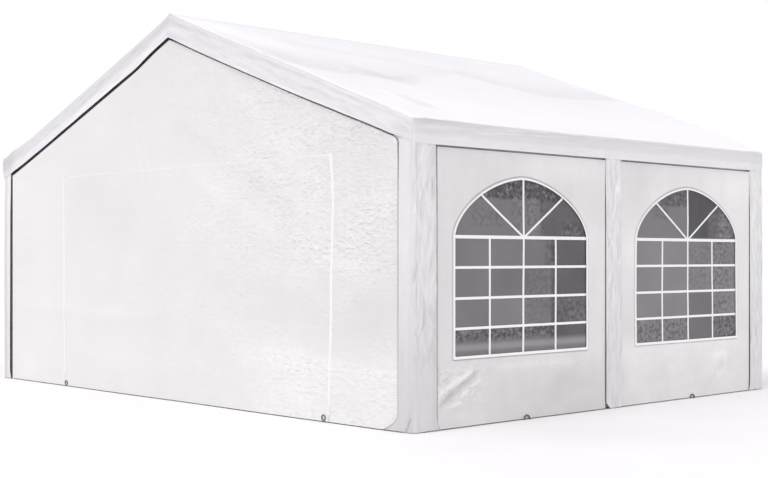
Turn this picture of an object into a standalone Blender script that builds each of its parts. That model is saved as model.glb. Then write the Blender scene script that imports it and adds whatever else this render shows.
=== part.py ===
import math

import bmesh
import bpy
from mathutils import Vector

# Marquee tent with a gable roof. Metres: X across the gable, Y along the ridge, Z up.
# The front gable faces -Y. Pieces are drawn for the front and the right-hand side (+X), and
# half a turn about the vertical gives the others.

# Outside of the cloth
WIDTH = 5.09
LENGTH = 3.99
RIDGE_Z = 2.866
EAVE_Z = 1.905
VALANCE_Z = 1.75  # lower edge of the valance at the eaves
GABLE_VALANCE_Z = 2.69  # lower edge of the gable valance under the ridge
HEM_Z = 0.006
CLOTH = 0.003
GAP = 0.0003  # between pieces that touch

# Steel frame
TUBE_R = 0.019
SLEEVE_R = 0.022
SLEEVE_LENGTH = 0.11
SLEEVE_STUB = 0.010  # how far a sleeve runs past its joint
STUB_ALONG = 0.012  # the same for the sleeves that lie along Y
STUB_RIDGE = 0.008  # the same for the sloping sleeves at the ridge
FOOT_SIZE = 0.085
FOOT_THICKNESS = 0.004
FOOT_SOCKET_Z = 0.060
ROUND_SIDES = 24
SHARP_ANGLE = math.radians(40)  # steel edges sharper than this stay sharp

# Strips of cloth that hang over the posts
CORNER_ON_GABLE = 0.12
CORNER_ON_SIDE = 0.20
POST_COVER_WIDTH = 0.179

# Door between two zips, in the gable wall
DOOR_LEFT_X = -1.52
DOOR_RIGHT_X = 1.80
DOOR_TOP_Z = 1.72
ZIP_LOW_Z = 0.05
ZIP_WIDTH = 0.024
ZIP_THICKNESS = 0.0025

# Windows with an arched head, one in each side wall
WINDOW_FROM_CORNER = (1.03, 2.93)  # centres, measured along the side from the front corner
WINDOW_HALF_WIDTH = 0.66
WINDOW_SILL_Z = 0.44
WINDOW_SPRING_Z = 1.19
WINDOW_CROWN_Z = 1.57
ARCH_POWER = 1.7  # of the superellipse that the head follows: 2 would be a half ellipse
ARCH_STEPS = 32

HALF_X = WIDTH / 2
HALF_Y = LENGTH / 2
SLOPE = math.atan2(RIDGE_Z - EAVE_Z, HALF_X)
WALL_X = HALF_X - CLOTH - GAP  # outer face of the side walls
WALL_Y = HALF_Y - CLOTH - GAP  # outer face of the gable walls
POST_X = WALL_X - CLOTH - GAP - SLEEVE_R
POST_Y = WALL_Y - CLOTH - GAP - SLEEVE_R

COLOURS = {
    "white_cloth": ((0.86, 0.86, 0.87), 0.55, 0.0),
    "window_film": ((0.20, 0.20, 0.21), 0.25, 0.0),
    "zip_tape": ((0.90, 0.90, 0.90), 0.6, 0.0),
    "galvanised_steel": ((0.62, 0.63, 0.65), 0.35, 1.0),
}


def roof_under(x):
    """Height just clear of the roof cloth's underside."""
    return RIDGE_Z - abs(x) * math.tan(SLOPE) - (CLOTH + GAP) / math.cos(SLOPE)


def frame_z(x):
    """Height of the frame's centre lines under the roof slope."""
    return roof_under(x) - SLEEVE_R / math.cos(SLOPE)


def gable_valance_low(x):
    return GABLE_VALANCE_Z - abs(x) * (GABLE_VALANCE_Z - VALANCE_Z) / HALF_X


def clear_scene():
    for obj in list(bpy.data.objects):
        bpy.data.objects.remove(obj, do_unlink=True)


def new_collection(name):
    collection = bpy.data.collections.new(name)
    bpy.context.scene.collection.children.link(collection)
    return collection


def new_material(name):
    colour, roughness, metallic = COLOURS[name]
    material = bpy.data.materials.new(name)
    material.use_nodes = True
    shader = material.node_tree.nodes["Principled BSDF"]
    shader.inputs["Base Color"].default_value = (*colour, 1)
    shader.inputs["Roughness"].default_value = roughness
    shader.inputs["Metallic"].default_value = metallic
    return material


def new_object(name, data, material):
    obj = bpy.data.objects.new(name, data)
    data.materials.append(MATERIALS[material])
    PARTS.objects.link(obj)
    return obj


def flat_panel(name, outlines, thickness, outer_face, material, faces_side=False):
    """A sheet that stands upright: outlines are (along, up) loops, and the later ones are holes."""
    curve = bpy.data.curves.new(name, "CURVE")
    curve.dimensions = "2D"
    curve.fill_mode = "BOTH"
    curve.extrude = thickness / 2
    for outline in outlines:
        spline = curve.splines.new("POLY")
        spline.points.add(len(outline) - 1)
        for point, (along, up) in zip(spline.points, outline):
            point.co = (along, up, 0, 1)
        spline.use_cyclic_u = True
    panel = new_object(name, curve, material)
    middle = outer_face - thickness / 2
    panel.location = (middle, 0, 0) if faces_side else (0, -middle, 0)
    panel.rotation_euler = (math.pi / 2, 0, math.pi / 2 if faces_side else 0)
    return panel


def folded_sheet(name, profile, sweep, material):
    """An open profile swept straight into a sheet, given its thickness inwards."""
    mesh = bpy.data.meshes.new(name)
    bm = bmesh.new()
    points = [bm.verts.new(point) for point in profile]
    edges = [bm.edges.new(pair) for pair in zip(points, points[1:])]
    swept = bmesh.ops.extrude_edge_only(bm, edges=edges)["geom"]
    far = [item for item in swept if isinstance(item, bmesh.types.BMVert)]
    bmesh.ops.translate(bm, verts=far, vec=sweep)
    bmesh.ops.recalc_face_normals(bm, faces=bm.faces)
    bm.to_mesh(mesh)
    bm.free()
    sheet = new_object(name, mesh, material)
    solid = sheet.modifiers.new("Cloth", "SOLIDIFY")
    solid.thickness = CLOTH
    solid.use_even_offset = True
    return sheet


def bar(name, start, end, radius, material="galvanised_steel"):
    """A round bar between two points."""
    start, end = Vector(start), Vector(end)
    mesh = bpy.data.meshes.new(name)
    bm = bmesh.new()
    bmesh.ops.create_cone(
        bm,
        cap_ends=True,
        segments=ROUND_SIDES,
        radius1=radius,
        radius2=radius,
        depth=(end - start).length,
    )
    bm.to_mesh(mesh)
    bm.free()
    mesh.shade_smooth()
    mesh.set_sharp_from_angle(angle=SHARP_ANGLE)
    obj = new_object(name, mesh, material)
    obj.location = (start + end) / 2
    obj.rotation_euler = (end - start).to_track_quat("Z", "Y").to_euler()
    return obj


def box(name, low, high, material="galvanised_steel"):
    low, high = Vector(low), Vector(high)
    mesh = bpy.data.meshes.new(name)
    bm = bmesh.new()
    bmesh.ops.create_cube(bm, size=1)
    bmesh.ops.scale(bm, vec=high - low, verts=bm.verts)
    bm.to_mesh(mesh)
    bm.free()
    obj = new_object(name, mesh, material)
    obj.location = (low + high) / 2
    return obj


def apply_modifiers(obj):
    bpy.context.view_layer.update()
    evaluated = obj.evaluated_get(bpy.context.evaluated_depsgraph_get())
    obj.data = bpy.data.meshes.new_from_object(evaluated)
    obj.modifiers.clear()


def union(name, pieces):
    """The pieces as one solid, under the first one's origin."""
    base = pieces[0]
    for piece in pieces[1:]:
        join = base.modifiers.new("Join " + piece.name, "BOOLEAN")
        join.operation = "UNION"
        join.object = piece
    apply_modifiers(base)
    for piece in pieces[1:]:
        bpy.data.objects.remove(piece, do_unlink=True)
    base.name = base.data.name = name
    base.data.shade_smooth()
    base.data.set_sharp_from_angle(angle=SHARP_ANGLE)
    return base


def roof_canopy():
    half = [Vector((HALF_X, -HALF_Y, VALANCE_Z)), Vector((HALF_X, -HALF_Y, EAVE_Z))]
    other = [Vector((-point.x, point.y, point.z)) for point in reversed(half)]
    profile = [*half, Vector((0, -HALF_Y, RIDGE_Z)), *other]
    return folded_sheet("roof_canopy", profile, (0, LENGTH, 0), "white_cloth")


def gable_valance():
    ends = (-WALL_X, 0, WALL_X)
    low = [(x, gable_valance_low(x)) for x in ends]
    high = [(x, roof_under(x)) for x in reversed(ends)]
    return flat_panel("gable_valance_front", [low + high], CLOTH, HALF_Y, "white_cloth")


def gable_wall():
    """The wall runs round the door as an upside-down U."""
    low = [
        (-WALL_X, HEM_Z),
        (DOOR_LEFT_X, HEM_Z),
        (DOOR_LEFT_X, DOOR_TOP_Z),
        (DOOR_RIGHT_X, DOOR_TOP_Z),
        (DOOR_RIGHT_X, HEM_Z),
        (WALL_X, HEM_Z),
    ]
    high = [(x, roof_under(x)) for x in (WALL_X, 0, -WALL_X)]
    return flat_panel("gable_wall_front", [low + high], CLOTH, WALL_Y, "white_cloth")


def door_panel():
    left, right, top = DOOR_LEFT_X + GAP, DOOR_RIGHT_X - GAP, DOOR_TOP_Z - GAP
    outline = [(left, HEM_Z), (right, HEM_Z), (right, top), (left, top)]
    return flat_panel("door_panel_front", [outline], CLOTH, WALL_Y, "white_cloth")


def door_zip():
    """Both zips and the seam tape over the door, in one strip laid on the wall."""
    half = ZIP_WIDTH / 2
    outline = [
        (DOOR_LEFT_X - half, ZIP_LOW_Z),
        (DOOR_LEFT_X + half, ZIP_LOW_Z),
        (DOOR_LEFT_X + half, DOOR_TOP_Z - half),
        (DOOR_RIGHT_X - half, DOOR_TOP_Z - half),
        (DOOR_RIGHT_X - half, ZIP_LOW_Z),
        (DOOR_RIGHT_X + half, ZIP_LOW_Z),
        (DOOR_RIGHT_X + half, DOOR_TOP_Z + half),
        (DOOR_LEFT_X - half, DOOR_TOP_Z + half),
    ]
    outer = WALL_Y + GAP + ZIP_THICKNESS
    return flat_panel("door_zip_front", [outline], ZIP_THICKNESS, outer, "zip_tape")


def window_outline(centre, inset=0.0):
    """Sill, two jambs and a head a little flatter at its shoulders than a half ellipse."""
    half = WINDOW_HALF_WIDTH - inset
    rise = WINDOW_CROWN_Z - WINDOW_SPRING_Z - inset
    sill = [(centre - half, WINDOW_SILL_Z + inset), (centre + half, WINDOW_SILL_Z + inset)]
    head = []
    for step in range(ARCH_STEPS + 1):
        angle = math.pi * step / ARCH_STEPS
        across = math.copysign(abs(math.cos(angle)) ** (2 / ARCH_POWER), math.cos(angle))
        up = abs(math.sin(angle)) ** (2 / ARCH_POWER)
        head.append((centre + half * across, WINDOW_SPRING_Z + rise * up))
    return sill + head


def side_walls():
    """Two bays of side wall that meet at the middle post, each with its window film."""
    end = WALL_Y - CLOTH - GAP
    bays = {"front": (-end, -GAP / 2), "back": (GAP / 2, end)}
    top = roof_under(WALL_X)
    made = []
    for (bay, (near, far)), from_corner in zip(bays.items(), WINDOW_FROM_CORNER):
        centre = from_corner - HALF_Y
        wall = [(near, HEM_Z), (far, HEM_Z), (far, top), (near, top)]
        outlines = [wall, window_outline(centre)]
        made.append(
            flat_panel("side_wall_right_" + bay, outlines, CLOTH, WALL_X, "white_cloth", True)
        )
        film = [window_outline(centre, GAP)]
        made.append(
            flat_panel("window_film_right_" + bay, film, CLOTH, WALL_X, "window_film", True)
        )
    return made


def corner_cover(end, way):
    """A strip folded round the corner: way is -1 at the front corner and 1 at the back one."""
    lean = gable_valance_low(HALF_X - CORNER_ON_GABLE) - VALANCE_Z
    profile = [
        Vector((HALF_X - CORNER_ON_GABLE, way * HALF_Y, HEM_Z)),
        Vector((HALF_X, way * HALF_Y, HEM_Z)),
        Vector((HALF_X, way * (HALF_Y - CORNER_ON_SIDE), HEM_Z)),
    ]
    height = VALANCE_Z - GAP - HEM_Z
    cover = folded_sheet("corner_cover_right_" + end, profile, (0, 0, height), "white_cloth")
    apply_modifiers(cover)
    for vertex in cover.data.vertices:
        x, y, z = vertex.co
        if z < VALANCE_Z / 2:
            continue
        if x < HALF_X - CORNER_ON_GABLE / 2:
            vertex.co.z += lean
        elif x > HALF_X - CLOTH / 2 and abs(y) > HALF_Y - CLOTH / 2:
            vertex.co.z -= lean * CLOTH / CORNER_ON_GABLE
    return cover


def post_cover():
    half = POST_COVER_WIDTH / 2
    top = VALANCE_Z - GAP
    outline = [(-half, HEM_Z), (half, HEM_Z), (half, top), (-half, top)]
    return flat_panel("post_cover_right", [outline], CLOTH, HALF_X, "white_cloth", True)


def post(place, y):
    """A tube in the socket of its foot plate, which lies inwards of the cloth."""
    top = frame_z(POST_X) - SLEEVE_LENGTH - GAP
    outer_x = WALL_X - CLOTH / 2
    outer_y = WALL_Y - CLOTH / 2
    near_y = max(-outer_y, min(y - FOOT_SIZE / 2, outer_y - FOOT_SIZE))
    sunk = FOOT_THICKNESS / 2
    tube = bar("tube", (POST_X, y, sunk), (POST_X, y, top), TUBE_R)
    socket = bar("socket", (POST_X, y, sunk), (POST_X, y, FOOT_SOCKET_Z), SLEEVE_R)
    low = (outer_x - FOOT_SIZE, near_y, 0)
    plate = box("plate", low, (outer_x, near_y + FOOT_SIZE, FOOT_THICKNESS))
    return union("post_right_" + place, [plate, socket, tube])


def sleeve(joint, towards, stub):
    """One arm of a connector: it starts just past the joint and ends at the tube."""
    away = (Vector(towards) - Vector(joint)).normalized()
    return bar("sleeve", joint - away * stub, joint + away * SLEEVE_LENGTH, SLEEVE_R)


def eave_connector(place, y, ways):
    joint = Vector((POST_X, y, frame_z(POST_X)))
    ridge = Vector((0, y, frame_z(0)))
    arms = [
        sleeve(joint, joint - Vector((0, 0, 1)), SLEEVE_STUB),
        sleeve(joint, ridge, SLEEVE_STUB),
    ]
    arms += [sleeve(joint, joint + Vector((0, way, 0)), STUB_ALONG) for way in ways]
    return union("eave_connector_right_" + place, arms)


def ridge_connector(place, y, ways):
    joint = Vector((0, y, frame_z(0)))
    eaves = [Vector((side * POST_X, y, frame_z(POST_X))) for side in (-1, 1)]
    arms = [sleeve(joint, eave, STUB_RIDGE) for eave in eaves]
    arms += [sleeve(joint, joint + Vector((0, way, 0)), STUB_ALONG) for way in ways]
    return union("ridge_connector_" + place, arms)


def tube_between(name, start, end):
    """A frame tube that stops at the connector sleeves at both ends."""
    start, end = Vector(start), Vector(end)
    short = (end - start).normalized() * (SLEEVE_LENGTH + GAP)
    return bar(name, start + short, end - short, TUBE_R)


def side_frame():
    """The posts, connectors, eave tubes and rafters of the right-hand side."""
    low = frame_z(POST_X)
    rows = {"front": (-POST_Y, (1,)), "middle": (0, (-1, 1)), "back": (POST_Y, (-1,))}
    made = []
    for place, (y, ways) in rows.items():
        made.append(post(place, y))
        made.append(eave_connector(place, y, ways))
        rafter = "rafter_right_" + place
        made.append(tube_between(rafter, (POST_X, y, low), (0, y, frame_z(0))))
    for bay, way in (("front", -1), ("back", 1)):
        ends = (POST_X, way * POST_Y, low), (POST_X, 0, low)
        made.append(tube_between("eave_tube_right_" + bay, *ends))
    return made


def ridge_frame():
    ends = (0, -POST_Y, frame_z(0)), (0, 0, frame_z(0))
    return [
        ridge_connector("front", -POST_Y, (1,)),
        tube_between("ridge_tube_front", *ends),
    ]


def turned_name(name):
    """The name of the same piece after half a turn about the vertical."""
    swaps = {"right": "left", "front": "back", "back": "front"}
    return "_".join(swaps.get(word, word) for word in name.split("_"))


def add_half_turn(pieces, tent):
    """Every piece again on the far side, sharing its mesh, under an empty turned by half a turn."""
    turned = bpy.data.objects.new("far_half", None)
    turned.rotation_euler.z = math.pi
    turned.parent = tent
    PARTS.objects.link(turned)
    for piece in pieces:
        piece.parent = tent
        twin = piece.copy()
        twin.name = turned_name(piece.name)
        twin.parent = turned
        PARTS.objects.link(twin)


clear_scene()
PARTS = new_collection("marquee_tent")
MATERIALS = {name: new_material(name) for name in COLOURS}

marquee = bpy.data.objects.new("marquee", None)
PARTS.objects.link(marquee)

paired = [
    gable_valance(),
    gable_wall(),
    door_panel(),
    door_zip(),
    *side_walls(),
    corner_cover("front", -1),
    corner_cover("back", 1),
    *side_frame(),
    *ridge_frame(),
    post_cover(),
]
add_half_turn(paired, marquee)
for single in (roof_canopy(), ridge_connector("middle", 0, (-1, 1))):
    single.parent = marquee
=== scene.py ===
import math
import re

import bpy
import numpy as np
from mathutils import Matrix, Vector


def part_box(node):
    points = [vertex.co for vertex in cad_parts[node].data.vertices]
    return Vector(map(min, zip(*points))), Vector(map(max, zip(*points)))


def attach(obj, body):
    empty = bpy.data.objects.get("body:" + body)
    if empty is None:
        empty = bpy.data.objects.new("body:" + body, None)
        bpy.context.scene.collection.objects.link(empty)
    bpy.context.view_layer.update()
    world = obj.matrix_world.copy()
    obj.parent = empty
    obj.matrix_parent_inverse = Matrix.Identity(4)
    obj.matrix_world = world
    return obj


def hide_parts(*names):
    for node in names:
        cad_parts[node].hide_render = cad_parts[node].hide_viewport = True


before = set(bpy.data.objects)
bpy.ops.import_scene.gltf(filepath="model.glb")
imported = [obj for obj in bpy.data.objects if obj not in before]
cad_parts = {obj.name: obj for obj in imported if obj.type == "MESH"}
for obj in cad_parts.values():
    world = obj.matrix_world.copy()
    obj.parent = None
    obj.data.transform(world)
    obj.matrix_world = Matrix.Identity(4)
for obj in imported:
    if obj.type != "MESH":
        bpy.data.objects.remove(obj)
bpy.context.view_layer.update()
print("frame loaded with", len(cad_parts), "nodes")

# Sizes that every piece needs, read from the frame
canopyLow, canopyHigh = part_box("roof_canopy")
halfX, halfY, ridgeZ, sideHemZ = canopyHigh.x, canopyHigh.y, canopyHigh.z, canopyLow.z
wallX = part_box("side_wall_right_front")[1].x
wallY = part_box("gable_wall_back")[1].y
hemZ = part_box("gable_wall_front")[0].z
doorLow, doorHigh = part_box("door_panel_front")
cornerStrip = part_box("corner_cover_right_front")
gableStrip = halfX - cornerStrip[0].x  # width of the corner cover on the gable
sideStrip = cornerStrip[1].y + halfY  # and on the side
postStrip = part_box("post_cover_right")[1].y  # half the width of the middle cover
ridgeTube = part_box("ridge_tube_front")
tubeRadius = (ridgeTube[1].z - ridgeTube[0].z) / 2
tubeX = sum(corner.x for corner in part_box("eave_tube_right_front")) / 2
eaveZ = 1.905  # where the roof plane meets the side, from the same drawing as the frame
gableHemZ = 2.69  # lower edge of the gable valance under the ridge
slope = math.atan2(ridgeZ - eaveZ, halfX)
slopeLength = halfX / math.cos(slope)
valanceDrop = eaveZ - sideHemZ
clothThickness = 0.0012


# Numbers and noise

def smooth(value, low=0.0, high=1.0):
    t = np.clip((value - low) / (high - low), 0, 1)
    return t * t * (3 - 2 * t)


def bell(value, middle, width):
    return np.exp(-(((value - middle) / width) ** 2))


# Shapes for soft marks: a fade from 0 to 1 between two places, and a swell round one place
def fade(start, end):
    return lambda value: smooth(value, start, end)


def swell(middle, width):
    return lambda value: bell(value, middle, width)


# Soft marks added up. Each row holds an amount and then a shape for each value, or None
def softMarks(rows, *values):
    total = 0.0
    for amount, *shapes in rows:
        for shape, value in zip(shapes, values):
            if shape:
                amount = amount * shape(value)
        total = total + amount
    return total


# Rolling noise from about -1 to 1, with hills one unit apart
def hills(a, b, seed):
    turns = np.random.default_rng(seed).uniform(0, 2 * np.pi, (64, 64))
    i, j = np.floor(a).astype(int), np.floor(b).astype(int)
    fa, fb = a - i, b - j

    def corner(di, dj):
        turn = turns[(i + di) % 64, (j + dj) % 64]
        return np.cos(turn) * (fa - di) + np.sin(turn) * (fb - dj)

    ea, eb = (t**3 * (t * (6 * t - 15) + 10) for t in (fa, fb))
    low = corner(0, 0) * (1 - ea) + corner(1, 0) * ea
    high = corner(0, 1) * (1 - ea) + corner(1, 1) * ea
    return 1.5 * (low * (1 - eb) + high * eb)


# Thin raised creases, from 0 to 1, where the rolling noise crosses zero
def creases(a, b, seed, sharpness=3.0):
    return np.clip(1 - sharpness * np.abs(hills(a, b, seed)), 0, 1) ** 1.5


# One fold along a straight line from start to end, tapering off over a share of its length at
# both ends. width may be a pair, for the right and the left of the line
def foldLine(a, b, start, end, width, taper=0.15):
    start, end = np.array(start), np.array(end)
    right, left = np.broadcast_to(width, 2)
    run = end - start
    length = np.hypot(*run)
    t = ((a - start[0]) * run[0] + (b - start[1]) * run[1]) / length**2
    away = ((a - start[0]) * run[1] - (b - start[1]) * run[0]) / length
    reach = np.where(away > 0, right, left)
    return bell(away, 0, reach) * smooth(t, -taper, taper) * smooth(t, 1 + taper, 1 - taper)


# A soft band through several points, from 0 to 1
def bandLine(a, b, points, width, taper=0.15):
    parts = [foldLine(a, b, start, end, width, taper) for start, end in zip(points, points[1:])]
    return np.max(parts, axis=0)


# Soft folds added up. Each row holds points, height, half width and how much lighter the fold is painted,
# as painted shade or highlight
def foldHeights(rows, a, b):
    return sum(height * bandLine(a, b, points, width) for points, height, width, _ in rows)


def foldShades(rows, a, b):
    return sum(shade * bandLine(a, b, points, width) for points, _, width, shade in rows)


# Short creases scattered over a box, some raised and some sunk. lean is how far they may turn off
# the second direction
def strokes(a, b, seed, low, high, count, length, width, lean):
    random = np.random.default_rng(seed)
    total = 0 * a
    for _ in range(count):
        middle, turn = random.uniform(low, high), random.uniform(-lean, lean)
        reach = length * random.uniform(0.2, 0.5) * np.array([math.sin(turn), math.cos(turn)])
        total = total + random.choice([-1, 1]) * foldLine(a, b, middle - reach, middle + reach, width)
    return total


# Grid lines from the first stop to the last, no further apart than the cell of each stretch
def spaced(stops, cells):
    runs = []
    for low, high, cell in zip(stops, stops[1:], cells):
        runs.append(np.linspace(low, high, max(1, math.ceil((high - low) / cell)) + 1)[:-1])
    return np.append(np.concatenate(runs), stops[-1])


# Meshes

def linkObject(name, mesh, material):
    mesh.materials.append(material)
    obj = bpy.data.objects.new(name, mesh)
    bpy.context.scene.collection.objects.link(obj)
    return obj


# Gives a sheet its thickness inwards, with crisp cut edges
def thicken(obj, thickness):
    solid = obj.modifiers.new("Thickness", "SOLIDIFY")
    solid.thickness = thickness
    solid.offset = -1
    evaluated = obj.evaluated_get(bpy.context.evaluated_depsgraph_get())
    flat, obj.data = obj.data, bpy.data.meshes.new_from_object(evaluated)
    obj.modifiers.clear()
    bpy.data.meshes.remove(flat)
    obj.data.name = obj.name
    obj.data.shade_smooth()
    obj.data.set_sharp_from_angle(angle=math.radians(50))
    return obj


# A sheet of cloth. For its material it keeps the place on the cloth and the distance to the
# nearest hem, both in metres, how crumpled it is from 0 to 1, and how much lighter it is: mostly
# painted shade and highlight, with some random tone
def clothPiece(
    name, points, quads, place, hemAway, crumple, material, thickness=clothThickness, tone=0.0
):
    used, index = np.unique(quads, return_inverse=True)
    mesh = bpy.data.meshes.new(name)
    mesh.from_pydata(points[used].tolist(), [], index.reshape(-1, 4).tolist())
    flatPlace = np.column_stack([place, np.zeros(len(place))])
    tones = np.broadcast_to(np.ravel(tone), len(points))
    for key, kind, field, values in (
        ("clothPlace", "FLOAT_VECTOR", "vector", flatPlace),
        ("hemAway", "FLOAT", "value", hemAway),
        ("crumple", "FLOAT", "value", crumple),
        ("tone", "FLOAT", "value", tones),
    ):
        attribute = mesh.attributes.new(key, kind, "POINT")
        attribute.data.foreach_set(field, values[used].astype(np.float32).ravel())
    return thicken(linkObject(name, mesh, material), thickness)


# Quads between neighbouring points of a grid of point numbers
def gridQuads(index):
    return np.stack([index[:-1, :-1], index[1:, :-1], index[1:, 1:], index[:-1, 1:]], -1)


# A cloth piece from one grid: points holds x, y, z at each crossing
def gridCloth(name, points, place, hemAway, crumple, material, keep=None, **more):
    quads = gridQuads(np.arange(points[..., 0].size).reshape(points.shape[:2]))
    quads = quads.reshape(-1, 4) if keep is None else quads[keep]
    flat = [np.broadcast_to(values, points.shape[:2]).ravel() for values in (hemAway, crumple)]
    return clothPiece(name, points.reshape(-1, 3), quads, place.reshape(-1, 2), *flat, material, **more)


def solidPiece(name, points, faces, material):
    mesh = bpy.data.meshes.new(name)
    mesh.from_pydata(points.tolist(), [], faces.tolist())
    mesh.shade_smooth()
    return linkObject(name, mesh, material)


# A plain closed mesh from boxes, each given by its middle, half sizes and three directions
def boxesPiece(name, boxes, material):
    signs = np.array([(x, y, z) for z in (-1, 1) for y in (-1, 1) for x in (-1, 1)])
    sides = np.array([(0, 2, 3, 1), (4, 5, 7, 6), (0, 1, 5, 4), (2, 6, 7, 3), (0, 4, 6, 2), (1, 3, 7, 5)])
    middles, halves, turns = (np.array(values, float) for values in zip(*boxes))
    corners = middles[:, None] + np.einsum("cj,bj,bjk->bck", signs, halves, turns)
    faces = sides[None] + 8 * np.arange(len(boxes))[:, None, None]
    obj = solidPiece(name, corners.reshape(-1, 3), faces.reshape(-1, 4), material)
    obj.data.set_sharp_from_angle(angle=math.radians(40))
    return obj


# The same piece on the far side of the tent: half a turn about the upright through its middle
def turnedCopy(obj):
    twin = obj.copy()
    twin.name = turnedName(obj.name)
    twin.rotation_euler.z = math.pi
    bpy.context.scene.collection.objects.link(twin)
    return twin


def turnedName(name):
    opposite = {"front": "back", "back": "front", "left": "right", "right": "left"}

    def swap(found):
        word = opposite[found.group().lower()]
        return word.capitalize() if found.group()[0].isupper() else word

    return re.sub("front|back|left|right", swap, name, flags=re.IGNORECASE)


def dress(obj, slot, *nodes):
    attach(obj, "root")
    if nodes:
        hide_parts(*nodes)
    return obj


# Materials

def nodeGroup(name, inputs, outputs):
    group = bpy.data.node_groups.new(name, "ShaderNodeTree")
    for label, kind, default in inputs:
        socket = group.interface.new_socket(label, in_out="INPUT", socket_type="NodeSocket" + kind)
        if default is not None:
            socket.default_value = default
    for label, kind in outputs:
        group.interface.new_socket(label, in_out="OUTPUT", socket_type="NodeSocket" + kind)
    return group, group.nodes.new("NodeGroupInput").outputs, group.nodes.new("NodeGroupOutput").inputs


def setInput(tree, socket, value):
    if isinstance(value, bpy.types.NodeSocket):
        tree.links.new(value, socket)
    else:
        socket.default_value = value


# Sets or links inputs of a node, each by its label with _ for a blank
def feed(tree, node, **values):
    for label, value in values.items():
        setInput(tree, node.inputs[label.replace("_", " ")], value)


def maths(tree, operation, *values, clamp=False):
    node = tree.nodes.new("ShaderNodeMath")
    node.operation, node.use_clamp = operation, clamp
    for socket, value in zip(node.inputs, values):
        setInput(tree, socket, value)
    return node.outputs[0]


def separate(tree, vector):
    node = tree.nodes.new("ShaderNodeSeparateXYZ")
    tree.links.new(vector, node.inputs[0])
    return node.outputs


def stretched(tree, vector, scale):
    node = tree.nodes.new("ShaderNodeVectorMath")
    node.operation = "MULTIPLY"
    setInput(tree, node.inputs[0], vector)
    setInput(tree, node.inputs[1], scale)
    return node.outputs[0]


def noise(tree, vector, scale, detail=2.0, distortion=0.0):
    node = tree.nodes.new("ShaderNodeTexNoise")
    feed(tree, node, Vector=vector, Scale=scale, Detail=detail, Distortion=distortion)
    return node.outputs["Fac"]


def ramp(tree, value, low, high, start=0.0, end=1.0):
    node = tree.nodes.new("ShaderNodeMapRange")
    node.interpolation_type = "SMOOTHSTEP"
    for socket, given in zip(node.inputs, (value, low, high, start, end)):
        setInput(tree, socket, given)
    return node.outputs[0]


def mixColour(tree, factor, first, second):
    node = tree.nodes.new("ShaderNodeMix")
    node.data_type = "RGBA"
    for socket, given in ((node.inputs[0], factor), (node.inputs[6], first), (node.inputs[7], second)):
        setInput(tree, socket, given)
    return node.outputs[2]


# Flat tapes woven over and under each other, as a height from 0 to 1
def makeWeave():
    group, given, result = nodeGroup(
        "wovenTapes", [("Place", "Vector", None), ("Tape", "Float", 0.003)], [("Height", "Float")]
    )
    across = separate(group, given["Place"])
    turns = maths(group, "DIVIDE", math.pi, given["Tape"])
    waves = [maths(group, "SINE", maths(group, "MULTIPLY", across[axis], turns)) for axis in (0, 1)]
    over = maths(group, "MULTIPLY", *waves)
    group.links.new(maths(group, "MULTIPLY_ADD", over, 0.5, 0.5), result["Height"])
    return group


# Short shallow crinkles, longer along the first direction of the cloth than across it
def makeCrinkle():
    group, given, result = nodeGroup(
        "clothCrinkle",
        [
            ("Place", "Vector", None), ("Along", "Float", 14.0), ("Across", "Float", 55.0),
            ("Crumple", "Float", 1.0), ("Detail", "Float", 2.0),
        ],
        [("Height", "Float")],
    )
    combine = group.nodes.new("ShaderNodeCombineXYZ")
    group.links.new(given["Along"], combine.inputs[0])
    group.links.new(given["Across"], combine.inputs[1])
    place = stretched(group, given["Place"], combine.outputs[0])
    waves = noise(group, place, 1.0, detail=given["Detail"], distortion=0.6)
    folds = maths(group, "ABSOLUTE", maths(group, "SUBTRACT", noise(group, place, 0.6, detail=1.0), 0.5))
    sharp = maths(group, "SUBTRACT", 1.0, maths(group, "MULTIPLY", folds, 5.0), clamp=True)
    height = maths(group, "MULTIPLY_ADD", sharp, 0.35, waves)
    group.links.new(maths(group, "MULTIPLY", height, given["Crumple"]), result["Height"])
    return group


# A row of stitches at one distance from the hem, as a mask
def makeStitch():
    group, given, result = nodeGroup(
        "hemStitch",
        [
            ("Place", "Vector", None), ("Away", "Float", 1.0),
            ("Line", "Float", 0.022), ("Pitch", "Float", 0.007),
        ],
        [("Mask", "Float")],
    )
    across = separate(group, given["Place"])
    run = maths(group, "ADD", across[0], across[1])
    share = maths(group, "FRACT", maths(group, "DIVIDE", run, given["Pitch"]))
    thread = maths(group, "LESS_THAN", share, 0.62)
    off = maths(group, "ABSOLUTE", maths(group, "SUBTRACT", given["Away"], given["Line"]))
    line = maths(group, "LESS_THAN", off, 0.0009)
    group.links.new(maths(group, "MULTIPLY", thread, line), result["Mask"])
    return group


# Soft patches where the cloth is a little duller or greyer, as a value round 1
def makePatches():
    group, given, result = nodeGroup(
        "softPatches", [("Place", "Vector", None), ("Amount", "Float", 0.03)], [("Value", "Float")]
    )
    broad = noise(group, given["Place"], 1.1, detail=3.0)
    streaks = noise(group, stretched(group, given["Place"], (1.5, 9.0, 1.0)), 1.0)
    both = maths(group, "SUBTRACT", maths(group, "MULTIPLY_ADD", streaks, 0.5, broad), 0.75)
    group.links.new(maths(group, "MULTIPLY_ADD", both, given["Amount"], 1.0), result["Value"])
    return group


weave, crinkle, stitch, patches = makeWeave(), makeCrinkle(), makeStitch(), makePatches()


def addGroup(tree, group, **values):
    node = tree.nodes.new("ShaderNodeGroup")
    node.node_tree = group
    feed(tree, node, **values)
    return node.outputs[0]


def attributeOf(tree, name):
    node = tree.nodes.new("ShaderNodeAttribute")
    node.attribute_name = name
    return node


def bumped(tree, height, distance, normal=None):
    node = tree.nodes.new("ShaderNodeBump")
    feed(tree, node, Height=height, Distance=distance)
    if normal:
        feed(tree, node, Normal=normal)
    return node.outputs[0]


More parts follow.
